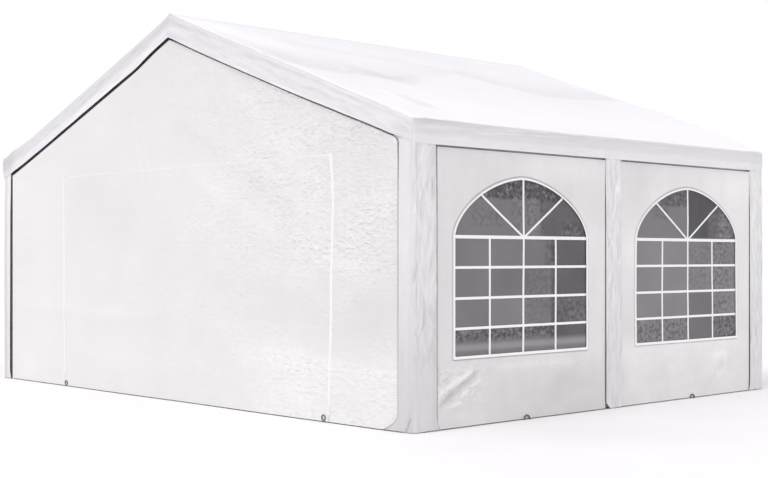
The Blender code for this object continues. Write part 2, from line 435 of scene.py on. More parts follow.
def newMaterial(name, **shaderValues):
    material = bpy.data.materials.new(name)
    material.use_nodes = True
    tree = material.node_tree
    shader = tree.nodes["Principled BSDF"]
    feed(tree, shader, **shaderValues)
    return material, tree, shader


clothLook = {
    "tape": 0.0028,  # width of one woven tape
    "weaveHeight": 0.00012,
    "hemWidth": 0.024,
    "hemSoft": 0.0015,  # over which the hem fades out
    "stitchIn": 0.003,  # from the hem's inner edge
    "stitchHeight": 0.0004,
    "roughness": 0.52,
    "wear": 0.10,  # how much rougher the tops of the crinkles are
    "shine": 0.3,
    "patchiness": 0.07,
    "streaks": 0.24,  # painted shade between the crinkles and painted highlight on their tops
    "meanFold": 0.67,  # the mean height of the crinkles
}


# Coated woven cloth. hemShade is how much whiter the doubled hem is, along and across set how
# the crinkles run, depth how deep they are and detail how much fine creasing they have
def clothMaterial(name, colour, hemShade=1.0, along=15.0, across=42.0, depth=0.006, detail=2.0):
    look = clothLook
    material, tree, shader = newMaterial(name, Specular_IOR_Level=look["shine"])
    place = attributeOf(tree, "clothPlace").outputs["Vector"]
    away = attributeOf(tree, "hemAway").outputs["Fac"]
    crumple = attributeOf(tree, "crumple").outputs["Fac"]
    tone = attributeOf(tree, "tone").outputs["Fac"]
    hem = ramp(tree, away, look["hemWidth"], look["hemWidth"] + look["hemSoft"], 1.0, 0.0)
    thread = addGroup(tree, stitch, Place=place, Away=away, Line=look["hemWidth"] - look["stitchIn"])
    shade = addGroup(tree, patches, Place=place, Amount=look["patchiness"])
    hemColour = tuple(hemShade * channel for channel in colour[:3]) + (1,)
    tapes = addGroup(tree, weave, Place=place, Tape=look["tape"])
    runs = {"Along": along, "Across": across, "Detail": detail}
    folds = addGroup(tree, crinkle, Place=place, Crumple=crumple, **runs)
    # the crinkles' relief also tints the colour: painted shade in their hollows, painted highlight on
    # their tops
    relief = maths(tree, "SUBTRACT", folds, maths(tree, "MULTIPLY", crumple, look["meanFold"]))
    shade = maths(tree, "MULTIPLY", shade, maths(tree, "MULTIPLY_ADD", relief, look["streaks"], 1.0))
    # the tone attribute darkens and lightens the colour: painted shade and highlight, with some random
    # tone
    shade = maths(tree, "MULTIPLY", shade, maths(tree, "ADD", tone, 1.0))
    tinted = stretched(tree, mixColour(tree, hem, colour, hemColour), shade)
    wear = maths(tree, "MULTIPLY_ADD", folds, look["wear"], look["roughness"])
    normal = bumped(tree, folds, depth)
    normal = bumped(tree, tapes, look["weaveHeight"], normal=normal)
    normal = bumped(tree, maths(tree, "ADD", thread, hem), look["stitchHeight"], normal=normal)
    feed(tree, shader, Base_Color=tinted, Roughness=wear, Normal=normal)
    return material


canopyCloth = clothMaterial(
    "canopyCloth", (0.795, 0.79, 0.81, 1), hemShade=1.02, along=6.0, across=34.0, depth=0.012, detail=1.5
)
wallCloth = clothMaterial("wallCloth", (0.771, 0.768, 0.757, 1), along=22.0, across=44.0, depth=0.0105)
sideCloth = clothMaterial("sideCloth", (0.79, 0.782, 0.78, 1), along=24.0, across=32.0, depth=0.012)
coverCloth = clothMaterial(
    "coverCloth", (0.785, 0.776, 0.788, 1), along=22.0, across=5.5, depth=0.026, detail=0.8
)


filmLook = {
    "dark": (0.060, 0.057, 0.060, 1),
    "light": (0.36, 0.35, 0.36, 1),
    "speck": (0.035, 0.033, 0.035, 1),
    "cloudy": 0.2,  # how much the haze comes and goes
    "paleMarks": 0.45,
    "darkMarks": 0.85,
    "roughness": (0.12, 0.38),  # how much it varies, and the least
    "cover": (0.06, 0.92),  # how little shows through, the same way
    "folds": 0.0028,
}


# Clear film that has gone hazy: mostly grey, a little see-through, with a soft gloss
def filmMaterial():
    look = filmLook
    material, tree, shader = newMaterial("windowFilm", IOR=1.5)
    place = attributeOf(tree, "clothPlace").outputs["Vector"]
    crumple = attributeOf(tree, "crumple").outputs["Fac"]
    tone = attributeOf(tree, "tone").outputs["Fac"]
    cloud = noise(tree, stretched(tree, place, (3.2, 2.4, 1.0)), 1.0, detail=1.0)
    mottle = noise(tree, stretched(tree, place, (29.0, 33.0, 1.0)), 1.0, detail=2.0, distortion=0.5)
    share = maths(tree, "MULTIPLY_ADD", cloud, look["cloudy"], tone, clamp=True)
    haze = mixColour(tree, share, look["dark"], look["light"])
    pale = maths(tree, "MULTIPLY", ramp(tree, mottle, 0.52, 0.66, 0.0, look["paleMarks"]), crumple)
    dark = maths(tree, "MULTIPLY", ramp(tree, mottle, 0.49, 0.38, 0.0, look["darkMarks"]), crumple)
    haze = mixColour(tree, dark, mixColour(tree, pale, haze, look["light"]), look["speck"])
    ripple = noise(tree, stretched(tree, place, (9.0, 14.0, 1.0)), 1.0, detail=1.0)
    height = maths(tree, "MULTIPLY_ADD", maths(tree, "MULTIPLY", mottle, crumple), 0.6, ripple)
    worn, cover = (maths(tree, "MULTIPLY_ADD", cloud, *look[key]) for key in ("roughness", "cover"))
    normal = bumped(tree, height, look["folds"])
    feed(tree, shader, Base_Color=haze, Roughness=worn, Alpha=cover, Normal=normal)
    return material


def plainMaterial(name, colour, roughness, grain=900.0, **more):
    material, tree, shader = newMaterial(name, **more)
    place = tree.nodes.new("ShaderNodeTexCoord").outputs["Object"]
    fine = noise(tree, place, grain)
    broad = noise(tree, place, grain / 60)
    darker = tuple(0.93 * channel for channel in colour[:3]) + (1,)
    tint = mixColour(tree, broad, darker, colour)
    worn = ramp(tree, broad, 0.3, 0.7, roughness - 0.05, roughness + 0.05)
    feed(tree, shader, Base_Color=tint, Roughness=worn, Normal=bumped(tree, fine, 0.00005))
    return material


# Zinc on steel: large soft spangles, dull grey patches and a fine grain
def zincMaterial():
    material, tree, shader = newMaterial("galvanisedSteel", Metallic=1.0)
    place = tree.nodes.new("ShaderNodeTexCoord").outputs["Object"]
    cells = tree.nodes.new("ShaderNodeTexVoronoi")
    feed(tree, cells, Vector=place, Scale=90.0)
    tone = separate(tree, cells.outputs["Color"])[0]
    dull = ramp(tree, noise(tree, place, 7.0, detail=4.0), 0.4, 0.7)
    spangle = mixColour(tree, tone, (0.50, 0.51, 0.53, 1), (0.68, 0.69, 0.71, 1))
    tint = mixColour(tree, dull, spangle, (0.55, 0.56, 0.57, 1))
    worn = maths(tree, "MULTIPLY_ADD", dull, 0.22, 0.26)
    normal = bumped(tree, noise(tree, place, 350.0), 0.0001)
    feed(tree, shader, Base_Color=tint, Roughness=worn, Normal=normal)
    return material


windowFilm = filmMaterial()
barWeld = plainMaterial("whiteWeld", (0.99, 0.985, 0.99, 1), 0.4)
zipTape = plainMaterial("zipTape", (0.91, 0.905, 0.90, 1), 0.6, grain=1500.0)
zipTeeth = plainMaterial("zipTeeth", (0.93, 0.93, 0.93, 1), 0.35)
darkWire = plainMaterial("dullWire", (0.16, 0.155, 0.15, 1), 0.5, Metallic=0.6)
steel = zincMaterial()
print("materials ready")


# The canopy: roof, side valances and gable valances cut and sewn as one sheet

def fromTop(share):
    return 1 - share


canopyLook = {
    "cell": 0.034,  # between grid lines on the open cloth
    "creaseCell": 0.018,  # where the roof has its creases
    "creaseDown": (0.95, 1.58, 2.02, 2.46),  # from and to there, twice, down the slope
    "creaseAlong": (-1.64, -1.40, 1.40, 1.64),  # and along the ridge
    "foldCell": 0.009,  # near the folds
    "foldReach": 0.060,
    "foldRounds": 26,  # rounds of easing that turn a sharp fold into a soft one
    "eaveEase": 0.12,  # the fold at the eave stays crisper than the one along the rake
    "ridgeEase": 0.12,
    "stitchStep": 0.0165,  # down the valances
    "sag": 0.014,  # between the rafters
    "billow": 0.010,
    # the far end of the right-hand slope stands up, and so does the near left shoulder: height,
    # where down the slope, where along the ridge, and where down the slope it ends
    "bulges": (
        (0.028, swell(1.9, 0.75), fade(0.3, halfY), fade(2.6, 2.3)),
        (0.028, swell(0.12 - slopeLength, 0.2), fade(-1.3, -halfY)),
    ),
    "farPush": 0.010,  # the far edge stands off
    "leftPush": 0.036,  # and so does the left eave near the front
    "rakeLift": 0.004,
    "cornerFan": 0.005,
    "ripple": 0.0016,
    # side valances: how far they stand off, by depth under the eave and share of the drop
    "sideShape": ((-0.003, swell(0.05, 0.03)), (0.010, None, fade(0.45, 1.0))),
    "belly": 0.010,
    "nearFold": {"depth": 0.065, "climb": 0.033, "height": 0.008},
    "gableFlareLeft": 0.007,
    "gableFlareRight": 0.022,
    # the hem of the front gable valance hangs lower on the left and bends on the right: how far,
    # and where along it this begins and ends
    "hemSag": (
        (0.024, fade(-0.1, -0.5), fade(-halfX - 0.25, -2.0)),
        (0.008, fade(0.05, 0.5), fade(2.0, 1.4)),
        (-0.0048, fade(1.9, 2.2)),
    ),
    "wrinkle": 0.0045,
    "gableWrinkle": 1.5,  # the gable valances wrinkle this much more
    "standOff": 0.0025,
    "crumple": 0.18,
    "gableCrumple": 0.32,  # so much more on the gable valances
    "sideCrumple": 0.08,
    # creases in the right-hand slope: start and end down the slope and along the ridge,
    # height and half width
    "creases": (
        ((1.15, -1.99), (1.50, -0.95), -0.016, 0.050),
        ((1.05, -1.99), (1.38, -0.90), 0.008, 0.070),
        ((0.85, 0.28), (1.33, 1.30), -0.015, 0.055),
        ((2.04, -1.44), (2.42, -1.50), -0.008, 0.050),
        ((2.02, -1.58), (2.38, -1.64), 0.005, 0.050),
        ((1.75, -1.2), (1.95, 1.4), 0.009, 0.10),
    ),
    # painted shade and highlight in bands along the roof's folds: points, amount and half width, or one
    # for each side
    "bands": (
        (
            ((0.95, -1.93), (1.47, -1.85), (1.44, -1.35), (1.41, -1.05), (1.58, -0.95)),
            -0.10, (0.07, 0.36),
        ),
        (((0.82, 0.25), (1.17, 0.57), (1.34, 0.81), (1.28, 1.35), (1.22, 1.99)), -0.085, (0.06, 0.36)),
        (((1.44, -1.15), (1.14, -0.40), (0.84, 0.28)), -0.05, (0.07, 0.22)),
        (((0.50, -1.35), (0.62, -0.55), (0.80, 0.1)), -0.04, 0.09),
        (((2.07, -1.42), (2.36, -1.46)), -0.12, (0.11, 0.04)),
        (((2.00, -1.56), (2.15, -1.60)), 0.10, 0.05),
        (((0.05, -1.95), (0.75, -1.55)), 0.08, 0.22),
        (((0.15, -0.9), (0.3, 1.2)), -0.03, 0.2),
    ),
    # painted light and shade, as how much lighter the cloth is: on the roof by distance from the ridge,
    # and by the same with the left-hand side negative; on the gable valances by distance from the ridge
    # and share of the drop; on the side valances by depth and share of the drop, or depth and place along
    "roofMarks": ((0.045, fade(1.4, 2.3)), (-0.10, None, swell(0, 0.06)), (-0.03, None, fade(0, -0.1))),
    "rakeMarks": ((-0.10,), (-0.05, fade(1.3, 0.2), fromTop), (0.03, None, fade(0.5, 1))),
    "leftRakeMarks": ((0.10, None, fade(0.60, 0.72)), (-0.05, None, fromTop), (-0.11, fade(2.40, 2.62))),
    "sideMarks": ((-0.06,), (-0.06, swell(0, 0.03)), (0.075, None, fade(0.56, 0.66))),
    "rightSideMarks": (
        (-0.12, swell(0.006, 0.008), fade(-1.50, -1.85)),
        (-0.05, fade(0.045, 0.03), fade(-0.4, -1.0)),
    ),
    # painted highlight streak along the right-hand valance: points, amount and half width
    "rightSideStreak": (((-1.45, 0.060), (-0.95, 0.046), (-0.55, 0.034)), 0.12, 0.0055),
}


def rakeZ(x):
    return ridgeZ - np.abs(x) * math.tan(slope)


def gableHem(x):
    low = softMarks(canopyLook["hemSag"], x, x)
    return gableHemZ - low - np.abs(x) * (gableHemZ - sideHemZ) / halfX


def neighbours(quads, count):
    sides = np.concatenate([quads[:, [0, 1]], quads[:, [1, 2]], quads[:, [2, 3]], quads[:, [3, 0]]])
    edges, uses = np.unique(np.sort(sides, axis=1), axis=0, return_counts=True)
    onHem = np.zeros(count, bool)
    onHem[edges[uses == 1]] = True
    # a point on the hem moves only with its neighbours along the hem
    inner = edges[(uses == 2) & ~(onHem[edges[:, 0]] & onHem[edges[:, 1]])]
    pairs = np.concatenate([inner, inner[:, ::-1]])
    pairs = pairs[~onHem[pairs[:, 0]]]
    rim = edges[uses == 1]
    return np.concatenate([pairs, rim, rim[:, ::-1]])


def eased(points, pairs, weight, rounds):
    count = np.bincount(pairs[:, 0], minlength=len(points))[:, None].clip(1)
    for _ in range(rounds):
        total = np.zeros_like(points)
        np.add.at(total, pairs[:, 0], points[pairs[:, 1]])
        points = points + 0.5 * weight[:, None] * (total / count - points)
    return points


def normalsOf(points, quads):
    a, b, c, d = (points[quads[:, k]] for k in range(4))
    face = np.cross(c - a, d - b)
    total = np.zeros_like(points)
    for k in range(4):
        np.add.at(total, quads[:, k], face)
    return total / np.linalg.norm(total, axis=1, keepdims=True).clip(1e-12)


# A place on the left-hand slope, turned half round onto the right-hand one
def onRightSlope(a, b):
    return np.abs(a), np.where(a < 0, -b, b)


def roofRise(a, b):
    look = canopyLook
    across = np.abs(a) / slopeLength
    bay = np.abs(np.sin(np.pi * b / (halfY - 0.03)))
    free = bay * np.sin(np.pi * across.clip(0, 1))
    rise = -look["sag"] * free + look["billow"] * free * hills(a / 1.1 + 5, b / 0.9, 11)
    rise += softMarks(look["bulges"], a, b, a)
    nearRake = smooth(np.abs(b), halfY - 0.25, halfY)
    rise += look["rakeLift"] * nearRake * (1 + hills(a / 0.45, b * 0, 12))
    for start, finish, size, width in look["creases"]:
        rise += size * foldLine(*onRightSlope(a, b), start, finish, width)
    # tension folds that fan out from the corners
    corners = [(side * slopeLength, end * halfY) for side in (1, -1) for end in (-1, 1)]
    for seed, (cornerA, cornerB) in enumerate(corners):
        reach = np.hypot(a - cornerA, b - cornerB)
        turn = np.arctan2(b - cornerB, a - cornerA)
        fan = creases(turn * 5, reach / 0.9, 20 + seed, 2.2)
        rise += look["cornerFan"] * fan * smooth(reach, 0.0, 0.12) * smooth(reach, 0.9, 0.2)
    return rise + look["ripple"] * hills(a / 0.22, b / 0.4, 13) * (0.3 + bay)


# Lengthwise wrinkles of a valance: run is along its hem, depth down from its top edge
def valanceWrinkle(run, depth, seed):
    size = canopyLook["wrinkle"]
    broad = size * hills(run / 0.75, depth / 0.05 + run / 3, seed)
    fine = 0.45 * size * hills(run / 0.25, depth / 0.028, seed + 1)
    return broad + fine + 0.6 * size * creases(run / 0.9, depth / 0.07, seed + 2)


# Over the post covers the valance lies flat against them
def overCovers(b):
    corner = smooth(np.abs(b), halfY - sideStrip - 0.03, halfY - sideStrip + 0.03)
    return np.maximum(corner, smooth(np.abs(b), postStrip + 0.03, postStrip - 0.03))


def sideValanceLift(b, t, depth, side):
    look = canopyLook
    lift = softMarks(look["sideShape"], depth, t) + valanceWrinkle(b, depth, 31 + side)
    belly = look["belly"] * np.abs(np.sin(np.pi * b / halfY)) * smooth(t, 1.0, 0.2)
    if side > 0:
        # one fold rises from the near corner to the eave
        fold = look["nearFold"]
        foldDepth = fold["depth"] - fold["climb"] * (b + halfY)
        lip = bell(depth, foldDepth, 0.009) - 0.45 * bell(depth, foldDepth - 0.028, 0.016)
        lift += fold["height"] * lip * smooth(b, 0.1, -0.5) * smooth(depth, 0.0, 0.01)
    return lift + belly


# Painted light and shade: how much lighter the roof or a valance is than the plain cloth
def canopyPaintedShade(a, b, t, depth, flap, leftHand):
    look = canopyLook
    roof = softMarks(look["roofMarks"], np.abs(a), a)
    down, along = onRightSlope(a, b)
    spot = down / 0.3, along / 0.4
    down, along = down + 0.03 * hills(*spot, 17), along + 0.08 * hills(*spot, 18)
    for points, size, width in look["bands"]:
        roof += size * bandLine(down, along, points, width, 0.5 if len(points) == 2 else 0.15)
    rake = softMarks(look["rakeMarks"], np.abs(a), t)
    rake += softMarks(look["leftRakeMarks"], np.abs(a), t) * leftHand
    points, size, width = look["rightSideStreak"]
    right = softMarks(look["rightSideMarks"], depth, b) + size * bandLine(b, depth, points, width)
    valance = softMarks(look["sideMarks"], depth, t) + right * (a > 0)
    return np.where(flap, rake, np.where(t > 0, valance, roof))


# Grid lines: the steps down a valance as shares of its drop, across the roof and along the ridge
def canopyLines():
    look = canopyLook
    fold, cell, crease, fine = (look[key] for key in ("foldReach", "cell", "creaseCell", "foldCell"))
    steps = spaced([0, fold, valanceDrop], [fine, look["stitchStep"]]) / valanceDrop
    stops = [fold, *look["creaseDown"], slopeLength - fold, slopeLength]
    halfRoof = spaced(stops, [cell, crease, cell, crease, cell, fine])
    acrossRoof = np.concatenate([-halfRoof[::-1], spaced([-fold, fold], [fine])[1:-1], halfRoof])
    stops = [-halfY, fold - halfY, *look["creaseAlong"], halfY - fold, halfY]
    return steps, acrossRoof, spaced(stops, [fine, cell, crease, cell, crease, cell, fine])


# The sheet with sharp folds: points, quads and for each point its place a across and b along, its
# share t of the way down a valance, and the end whose gable valance it is in, -1 or 1, or else 0
def sharpCanopy():
    steps, acrossRoof, along = canopyLines()
    down = slopeLength + valanceDrop * steps[1:]
    across = np.concatenate([-down[::-1], acrossRoof, down])

    # the roof with both side valances
    a, b = np.meshgrid(across, along, indexing="ij")
    t = ((np.abs(a) - slopeLength) / valanceDrop).clip(0, 1)
    x = (a * math.cos(slope)).clip(-halfX, halfX)
    main = np.stack([x, b, rakeZ(x) - t * valanceDrop], -1)
    index = np.arange(a.size).reshape(a.shape)
    quads = [gridQuads(index).reshape(-1, 4)]
    points, fields = [main.reshape(-1, 3)], [np.stack([a, b, t, 0 * a], -1).reshape(-1, 4)]

    # a gable valance at each end, sewn to the roof along the rake and to the side valances
    low, high = len(down), len(down) + len(acrossRoof) - 1
    for end, column in ((-1, 0), (1, -1)):
        fa, ft = np.meshgrid(acrossRoof[1:-1], steps[1:], indexing="xy")
        fx = fa * math.cos(slope)
        fz = rakeZ(fx) - ft * (rakeZ(fx) - gableHem(-end * fx))
        flap = np.stack([fx, np.full_like(fx, end * halfY), fz], -1)
        count = sum(len(part) for part in points)
        sewn = np.empty((len(steps), len(acrossRoof)), int)
        sewn[0] = index[low : high + 1, column]
        sewn[:, 0] = index[low - np.arange(len(steps)), column]
        sewn[:, -1] = index[high + np.arange(len(steps)), column]
        sewn[1:, 1:-1] = count + np.arange(fa.size).reshape(fa.shape)
        made = gridQuads(sewn).reshape(-1, 4)
        quads.append(made if end < 0 else made[:, ::-1])
        points.append(flap.reshape(-1, 3))
        known = [fa, np.full_like(fa, end * halfY), ft, np.full_like(fa, end)]
        fields.append(np.stack(known, -1).reshape(-1, 4))
    return np.concatenate(points), np.concatenate(quads), np.concatenate(fields).T


# How far each point gives way when the sharp folds are eased, from 0 to 1
def easing(a, b, depth, flap):
    fold = canopyLook["foldReach"]
    reach = (0.4 * fold, 0.95 * fold)
    toEave = np.where(flap, slopeLength - np.abs(a), np.abs(np.abs(a) - slopeLength))
    toRake = np.where(flap, depth, halfY - np.abs(b))
    nearRake = 1 - smooth(toRake, *reach)
    nearEave = np.where(flap, 1, canopyLook["eaveEase"]) * (1 - smooth(toEave, *reach))
    corner = 1 - smooth(np.maximum(toEave, toRake), 0.8 * fold, 1.2 * fold)
    nearRidge = canopyLook["ridgeEase"] * (1 - smooth(np.abs(a), *reach))
    weight = np.maximum(np.maximum(nearRake, nearEave), np.maximum(nearRidge, corner))
    calmed = np.minimum(weight, np.maximum(nearRidge, smooth(np.abs(a), 0, 2 * fold)))
    return np.where(np.abs(a) < 2 * fold, calmed, weight)


# How far each point stands off its smooth place. free is 0 where a valance lies on a cover
def canopyLift(a, b, t, depth, flap, left, free):
    look = canopyLook
    seamFade = smooth(np.where(flap, slopeLength - np.abs(a), halfY - np.abs(b)), 0.0, 0.10)
    onRight, onLeft = sideValanceLift(b, t, depth, 1), sideValanceLift(-b, t, depth, -1)
    sideLift = np.where(a > 0, onRight, onLeft) * smooth(t, 0, 0.1)
    flare = look["gableFlareRight"] * (1 - left) + look["gableFlareLeft"] * left
    wrinkled = look["gableWrinkle"] * valanceWrinkle(a, depth, 41)
    flapLift = (flare * smooth(t, 0.2, 1.0) + wrinkled * smooth(t, 0, 0.2)).clip(-0.002)
    return (np.where(flap, flapLift, sideLift) * seamFade + look["standOff"] * t) * free


def makeCanopy():
    look = canopyLook
    points, quads, (a, b, t, end) = sharpCanopy()
    flap = end != 0
    depth = t * np.where(flap, rakeZ(points[:, 0]) - gableHem(-end * points[:, 0]), valanceDrop)
    points = eased(points, neighbours(quads, len(points)), easing(a, b, depth, flap), look["foldRounds"])

    # lift and wrinkle it
    covered = np.where(flap, 1 - smooth(slopeLength - np.abs(a), 0.09, 0.20), overCovers(b))
    free = 1 - covered * smooth(t, 0.3, 0.8)
    lift = canopyLift(a, b, t, depth, flap, smooth(a * end, -0.3, 0.3), free)
    points = points + normalsOf(points, quads) * lift[:, None]
    points[:, 2] += roofRise(a, b) * (1 - smooth(t, 0, 0.9))
    push = smooth(b, -1.2, -halfY) * (1 - smooth(t, 0.7, 1.3)) * (a < 0.03 - slopeLength)
    points[:, 0] -= look["leftPush"] * push
    points[:, 1] += look["farPush"] * smooth(b, halfY - 0.10, halfY)
    hemAway = np.where(t > 0, (1 - t) * valanceDrop + 0.06 * (1 - free), 1.0)
    # the place on the cloth runs on round the corners, from the side valances to the gable ones
    run = np.where(flap, np.sign(b) * (halfY + slopeLength - np.abs(a)), b)
    place = np.stack([run, np.where(flap, slopeLength + t * valanceDrop, np.abs(a))], -1)
    more = np.where(flap, look["gableCrumple"], look["sideCrumple"])
    crumple = look["crumple"] + more * smooth(t, 0, 0.3)
    tone = canopyPaintedShade(a, b, t, depth, flap, a * end > 0)
    return clothPiece("roofCanopy", points, quads, place, hemAway, crumple, canopyCloth, tone=tone)


roofCanopy = makeCanopy()
dress(roofCanopy, "white_cloth", "roof_canopy", "gable_valance_front", "gable_valance_back")
print("canopy made")


# Reads the place that a flat-cut cloth piece keeps in its clothPlace attribute, and hands the piece back
def declareSheet(obj, held, *restsOn):
    places = np.empty(3 * len(obj.data.vertices), np.float32)
    obj.data.attributes["clothPlace"].data.foreach_get("vector", places)
    places = places.reshape(-1, 3)[:, :2].astype(float)
    return obj


# A tape that follows a surface. path holds points in the surface's own two directions,
# place puts such a point and its height over the surface into the scene, and profile adds a
# height that depends on the distance from the tape's middle
def tapeStrip(path, width, height, place, columns=4, step=0.012, profile=None):
    path = np.array(path, float)
    runs = np.append(0, np.cumsum(np.hypot(*np.diff(path, axis=0).T)))
    along = np.linspace(0, runs[-1], max(2, round(runs[-1] / step) + 1))
    u, v = np.interp(along, runs, path[:, 0]), np.interp(along, runs, path[:, 1])
    turn = np.arctan2(np.gradient(v), np.gradient(u))
    offset = np.linspace(-0.5, 0.5, columns + 1)[None] * width
    u, v = u[:, None] - np.sin(turn)[:, None] * offset, v[:, None] + np.cos(turn)[:, None] * offset
    if profile:
        height = height + profile(offset + 0 * u)
    return place(u, v, height), np.stack([u, v], -1)


def joinGrids(grids):
    points, places, quads, count = [], [], [], 0
    for grid, place in grids:
        index = count + np.arange(grid[..., 0].size).reshape(grid.shape[:2])
        quads.append(gridQuads(index).reshape(-1, 4))
        points.append(grid.reshape(-1, 3))
        places.append(place.reshape(-1, 2))
        count += index.size
    return np.concatenate(points), np.concatenate(places), np.concatenate(quads)


def tapePiece(name, strips, material, tone=0.0):
    points, places, quads = joinGrids(strips)
    flat = np.ones(len(points))
    return clothPiece(name, points, quads, places, flat, 0.2 * flat, material, 0.0008, tone)


# The gable walls and their doors: one surface, cut where the zips run

gableLook = {
    "cell": 0.0255,
    "slotLeft": 0.034,  # dark gap between the wall and the left corner cover
    "slotRight": 0.014,
    "rakeSlotLeft": 0.024,  # and under the gable valance, left and right of the ridge
    "rakeSlotRight": 0.017,
    "cornerRound": 0.045,  # radius between the right corner cover and the gable valance
    "tuck": 0.055,  # how far the wall goes in behind the covers
    "tuckRun": 0.006,
    "billow": 0.008,
    "flare": ((0.014, fade(0.2, 1.5), fade(0.75, 0.05)),),  # the lower right stands out
    "ledge": 0.006,  # a low swell runs along the left
    "crease": 0.0035,
    "forward": 0.006,  # under the valance it hangs a little further out
    "tuckEnd": 0.0511,  # its top edge is this far under the roof
    "slotShade": (0.7, 0.1),  # painted shade on the cloth behind the left and the right cover, as how much darker it is
    "cutGap": 0.003,  # between wall and door, under the zip
    # soft folds over wall and door, as foldHeights reads them, with the painted shade or highlight that
    # foldShades lays along each
    "folds": (
        (((0.28, 1.69), (0.72, 1.45), (1.24, 1.22)), 0.005, 0.07, 0.032),
        (((0.62, 2.38), (0.95, 2.11), (1.10, 1.98), (1.42, 1.66)), 0.004, 0.06, 0.030),
        (((0.06, 2.04), (0.72, 1.71), (1.17, 1.48), (1.59, 1.21)), -0.005, 0.07, -0.026),
        (((-1.45, 1.62), (-0.41, 1.27), (0.49, 0.90), (1.38, 0.71), (2.30, 0.58)), -0.003, 0.20, -0.024),
        (((-0.50, 2.18), (-0.33, 1.54)), 0.002, 0.026, 0.024),
        (((-0.39, 2.12), (-0.23, 1.54)), 0.002, 0.022, 0.024),
        (((1.66, 1.05), (2.26, 0.93)), 0.002, 0.05, 0.034),
        (((-1.46, 0.50), (-0.95, 0.60), (-0.58, 0.66)), 0.001, 0.07, 0.014),
        (((-1.52, 0.27), (0.50, 0.27)), 0.001, 0.08, 0.012),
    ),
    # painted soft shade and light: how much lighter, where across and where up
    "shades": (
        (-0.065, fade(1.5, 2.4), swell(0.8, 0.45)),
        (-0.05, swell(2.1, 0.45), swell(1.68, 0.3)),
        (-0.032, swell(0.05, 0.6), fade(2.0, 2.35)),
        (0.025, fade(-1.0, -2.0)),
        (-0.03, swell(1.0, 0.6), swell(2.1, 0.25)),
        (-0.022, fade(-0.6, 1.0), swell(0.72, 0.24)),
        (-0.025, fade(1.5, 2.0), fade(0.35, 0.15)),
    ),
    # the cloth near the ground is paler and crumpled: how much, and up to where at these places
    "lowBand": 0.05,
    "lowBandTop": ((1.5, 2.0, 2.3), (0.47, 0.40, 0.37)),
    "rakeGlow": 0.24,  # painted highlight on the wall just under the right half of the valance
}
zipLook = {
    "width": 0.024,
    "lowZ": 0.05,
    "right": ((0.05, 1.796), (0.89, 1.806), (1.22, 1.819), (1.44, 1.829), (1.667, 1.808), (1.73, 1.80)),
    "left": ((0.05, -1.505), (0.9, -1.512), (1.3, -1.522), (1.68, -1.528), (1.73, -1.52)),
    "coil": 0.0052,  # width of the two rows of teeth together, and their height
    "coilHeight": 0.0014,
    "sliderZ": 0.100,
    "pullZ": 0.096,  # where the pull hangs from
    "pullLength": 0.030,
}
faceLeft = halfX - gableStrip - gableLook["slotLeft"]
faceRight = halfX - gableStrip - gableLook["slotRight"]
tubeClearance = 0.0035  # between the tubes and the cloth's tucked edges
flankX = tubeX - tubeRadius - tubeClearance
flankY = halfY - (halfX - tubeX) - tubeRadius - tubeClearance
doorTop = doorHigh.z


def zipX(side, z):
    heights, across = np.array(zipLook[side]).T
    return np.interp(z, heights, across)


# The cloth follows the sway of both zips
def sway(x, z):
    low = smooth(z, 2.1, doorTop)
    right = (zipX("right", z) - doorHigh.x) * bell(x, doorHigh.x, 0.4)
    left = (zipX("left", z) - doorLow.x) * bell(x, doorLow.x, 0.4)
    return low * (right + left)


def faceTop(x):
    right = smooth(x, -0.2, 0.2)
    return gableHem(x) - gableLook["rakeSlotLeft"] * (1 - right) - gableLook["rakeSlotRight"] * right


def gablePatches(x, z, low, high):
    return smooth(hills(x / 0.45, z / 0.3, 54), low, high)


# How crumpled the wall is, from 0 to 1
def gableCrumple(x, z):
    top = np.interp(x, *gableLook["lowBandTop"])
    patchy = gablePatches(x, z, -0.6, 0.6)
    upper = smooth(x, -0.4, 2.0) * smooth(z, 0.75, 1.15) * (0.35 + 0.65 * patchy)
    lower = 0.8 * smooth(x, 0.6, 1.6) * smooth(z, top + 0.05, top - 0.07) * (0.5 + 0.5 * patchy)
    middle = 0.25 * smooth(x, -0.6, 1.0) * patchy
    return (0.10 + np.maximum(np.maximum(upper, lower), middle)).clip(0, 1)


def gableLift(x, z):
    look = gableLook
    lift = look["billow"] * (0.4 + hills(x / 1.25 + 3, z / 0.95, 51))
    lift += softMarks(look["flare"], x, z) + foldHeights(look["folds"], x, z)
    lift += look["ledge"] * bell(z, 0.62 + 0.02 * np.sin(2 * x), 0.05) * smooth(x, 0.2, -0.4)
    rough = gableCrumple(x, z)
    lift += look["crease"] * rough * creases(x / 0.5, z / 0.14 + x / 2, 52, 2.2)
    lift += 0.4 * look["crease"] * rough * hills(x / 0.16, z / 0.06, 53)
    edge = np.minimum(np.where(x < 0, faceLeft + x, faceRight - x), faceTop(x) - z)
    forward = look["forward"] * smooth(faceTop(x) - z, 0.14, 0.02) * smooth(faceLeft + x, 0.02, 0.3)
    return lift * smooth(edge, 0.0, 0.22) + forward


# Painted shade and highlight over the gable wall, with a random mottle: how much lighter it is
def gableToneAndPaintedShade(x, z):
    look = gableLook
    tone = softMarks(look["shades"], x, z) + foldShades(look["folds"], x, z)
    tone += 0.014 * hills(x / 0.28, z / 0.5, 55)
    tone += look["rakeGlow"] * np.exp(-(faceTop(x) - z).clip(0) / 0.014) * smooth(x, 0.1, 0.4)
    top = np.interp(x, *look["lowBandTop"])
    tone += look["lowBand"] * smooth(x, 0.5, 1.6) * smooth(z, top + 0.02, top - 0.05)
    mottled = 0.022 * gablePatches(x, z, -0.2, 0.7) + 0.012 * hills(x / 0.14, z / 0.12, 56)
    return tone + mottled * smooth(x, -0.3, 0.7)


def gablePlace(x, z, height):
    return np.stack([x, -(wallY + gableLift(x, z) + height), z], -1)


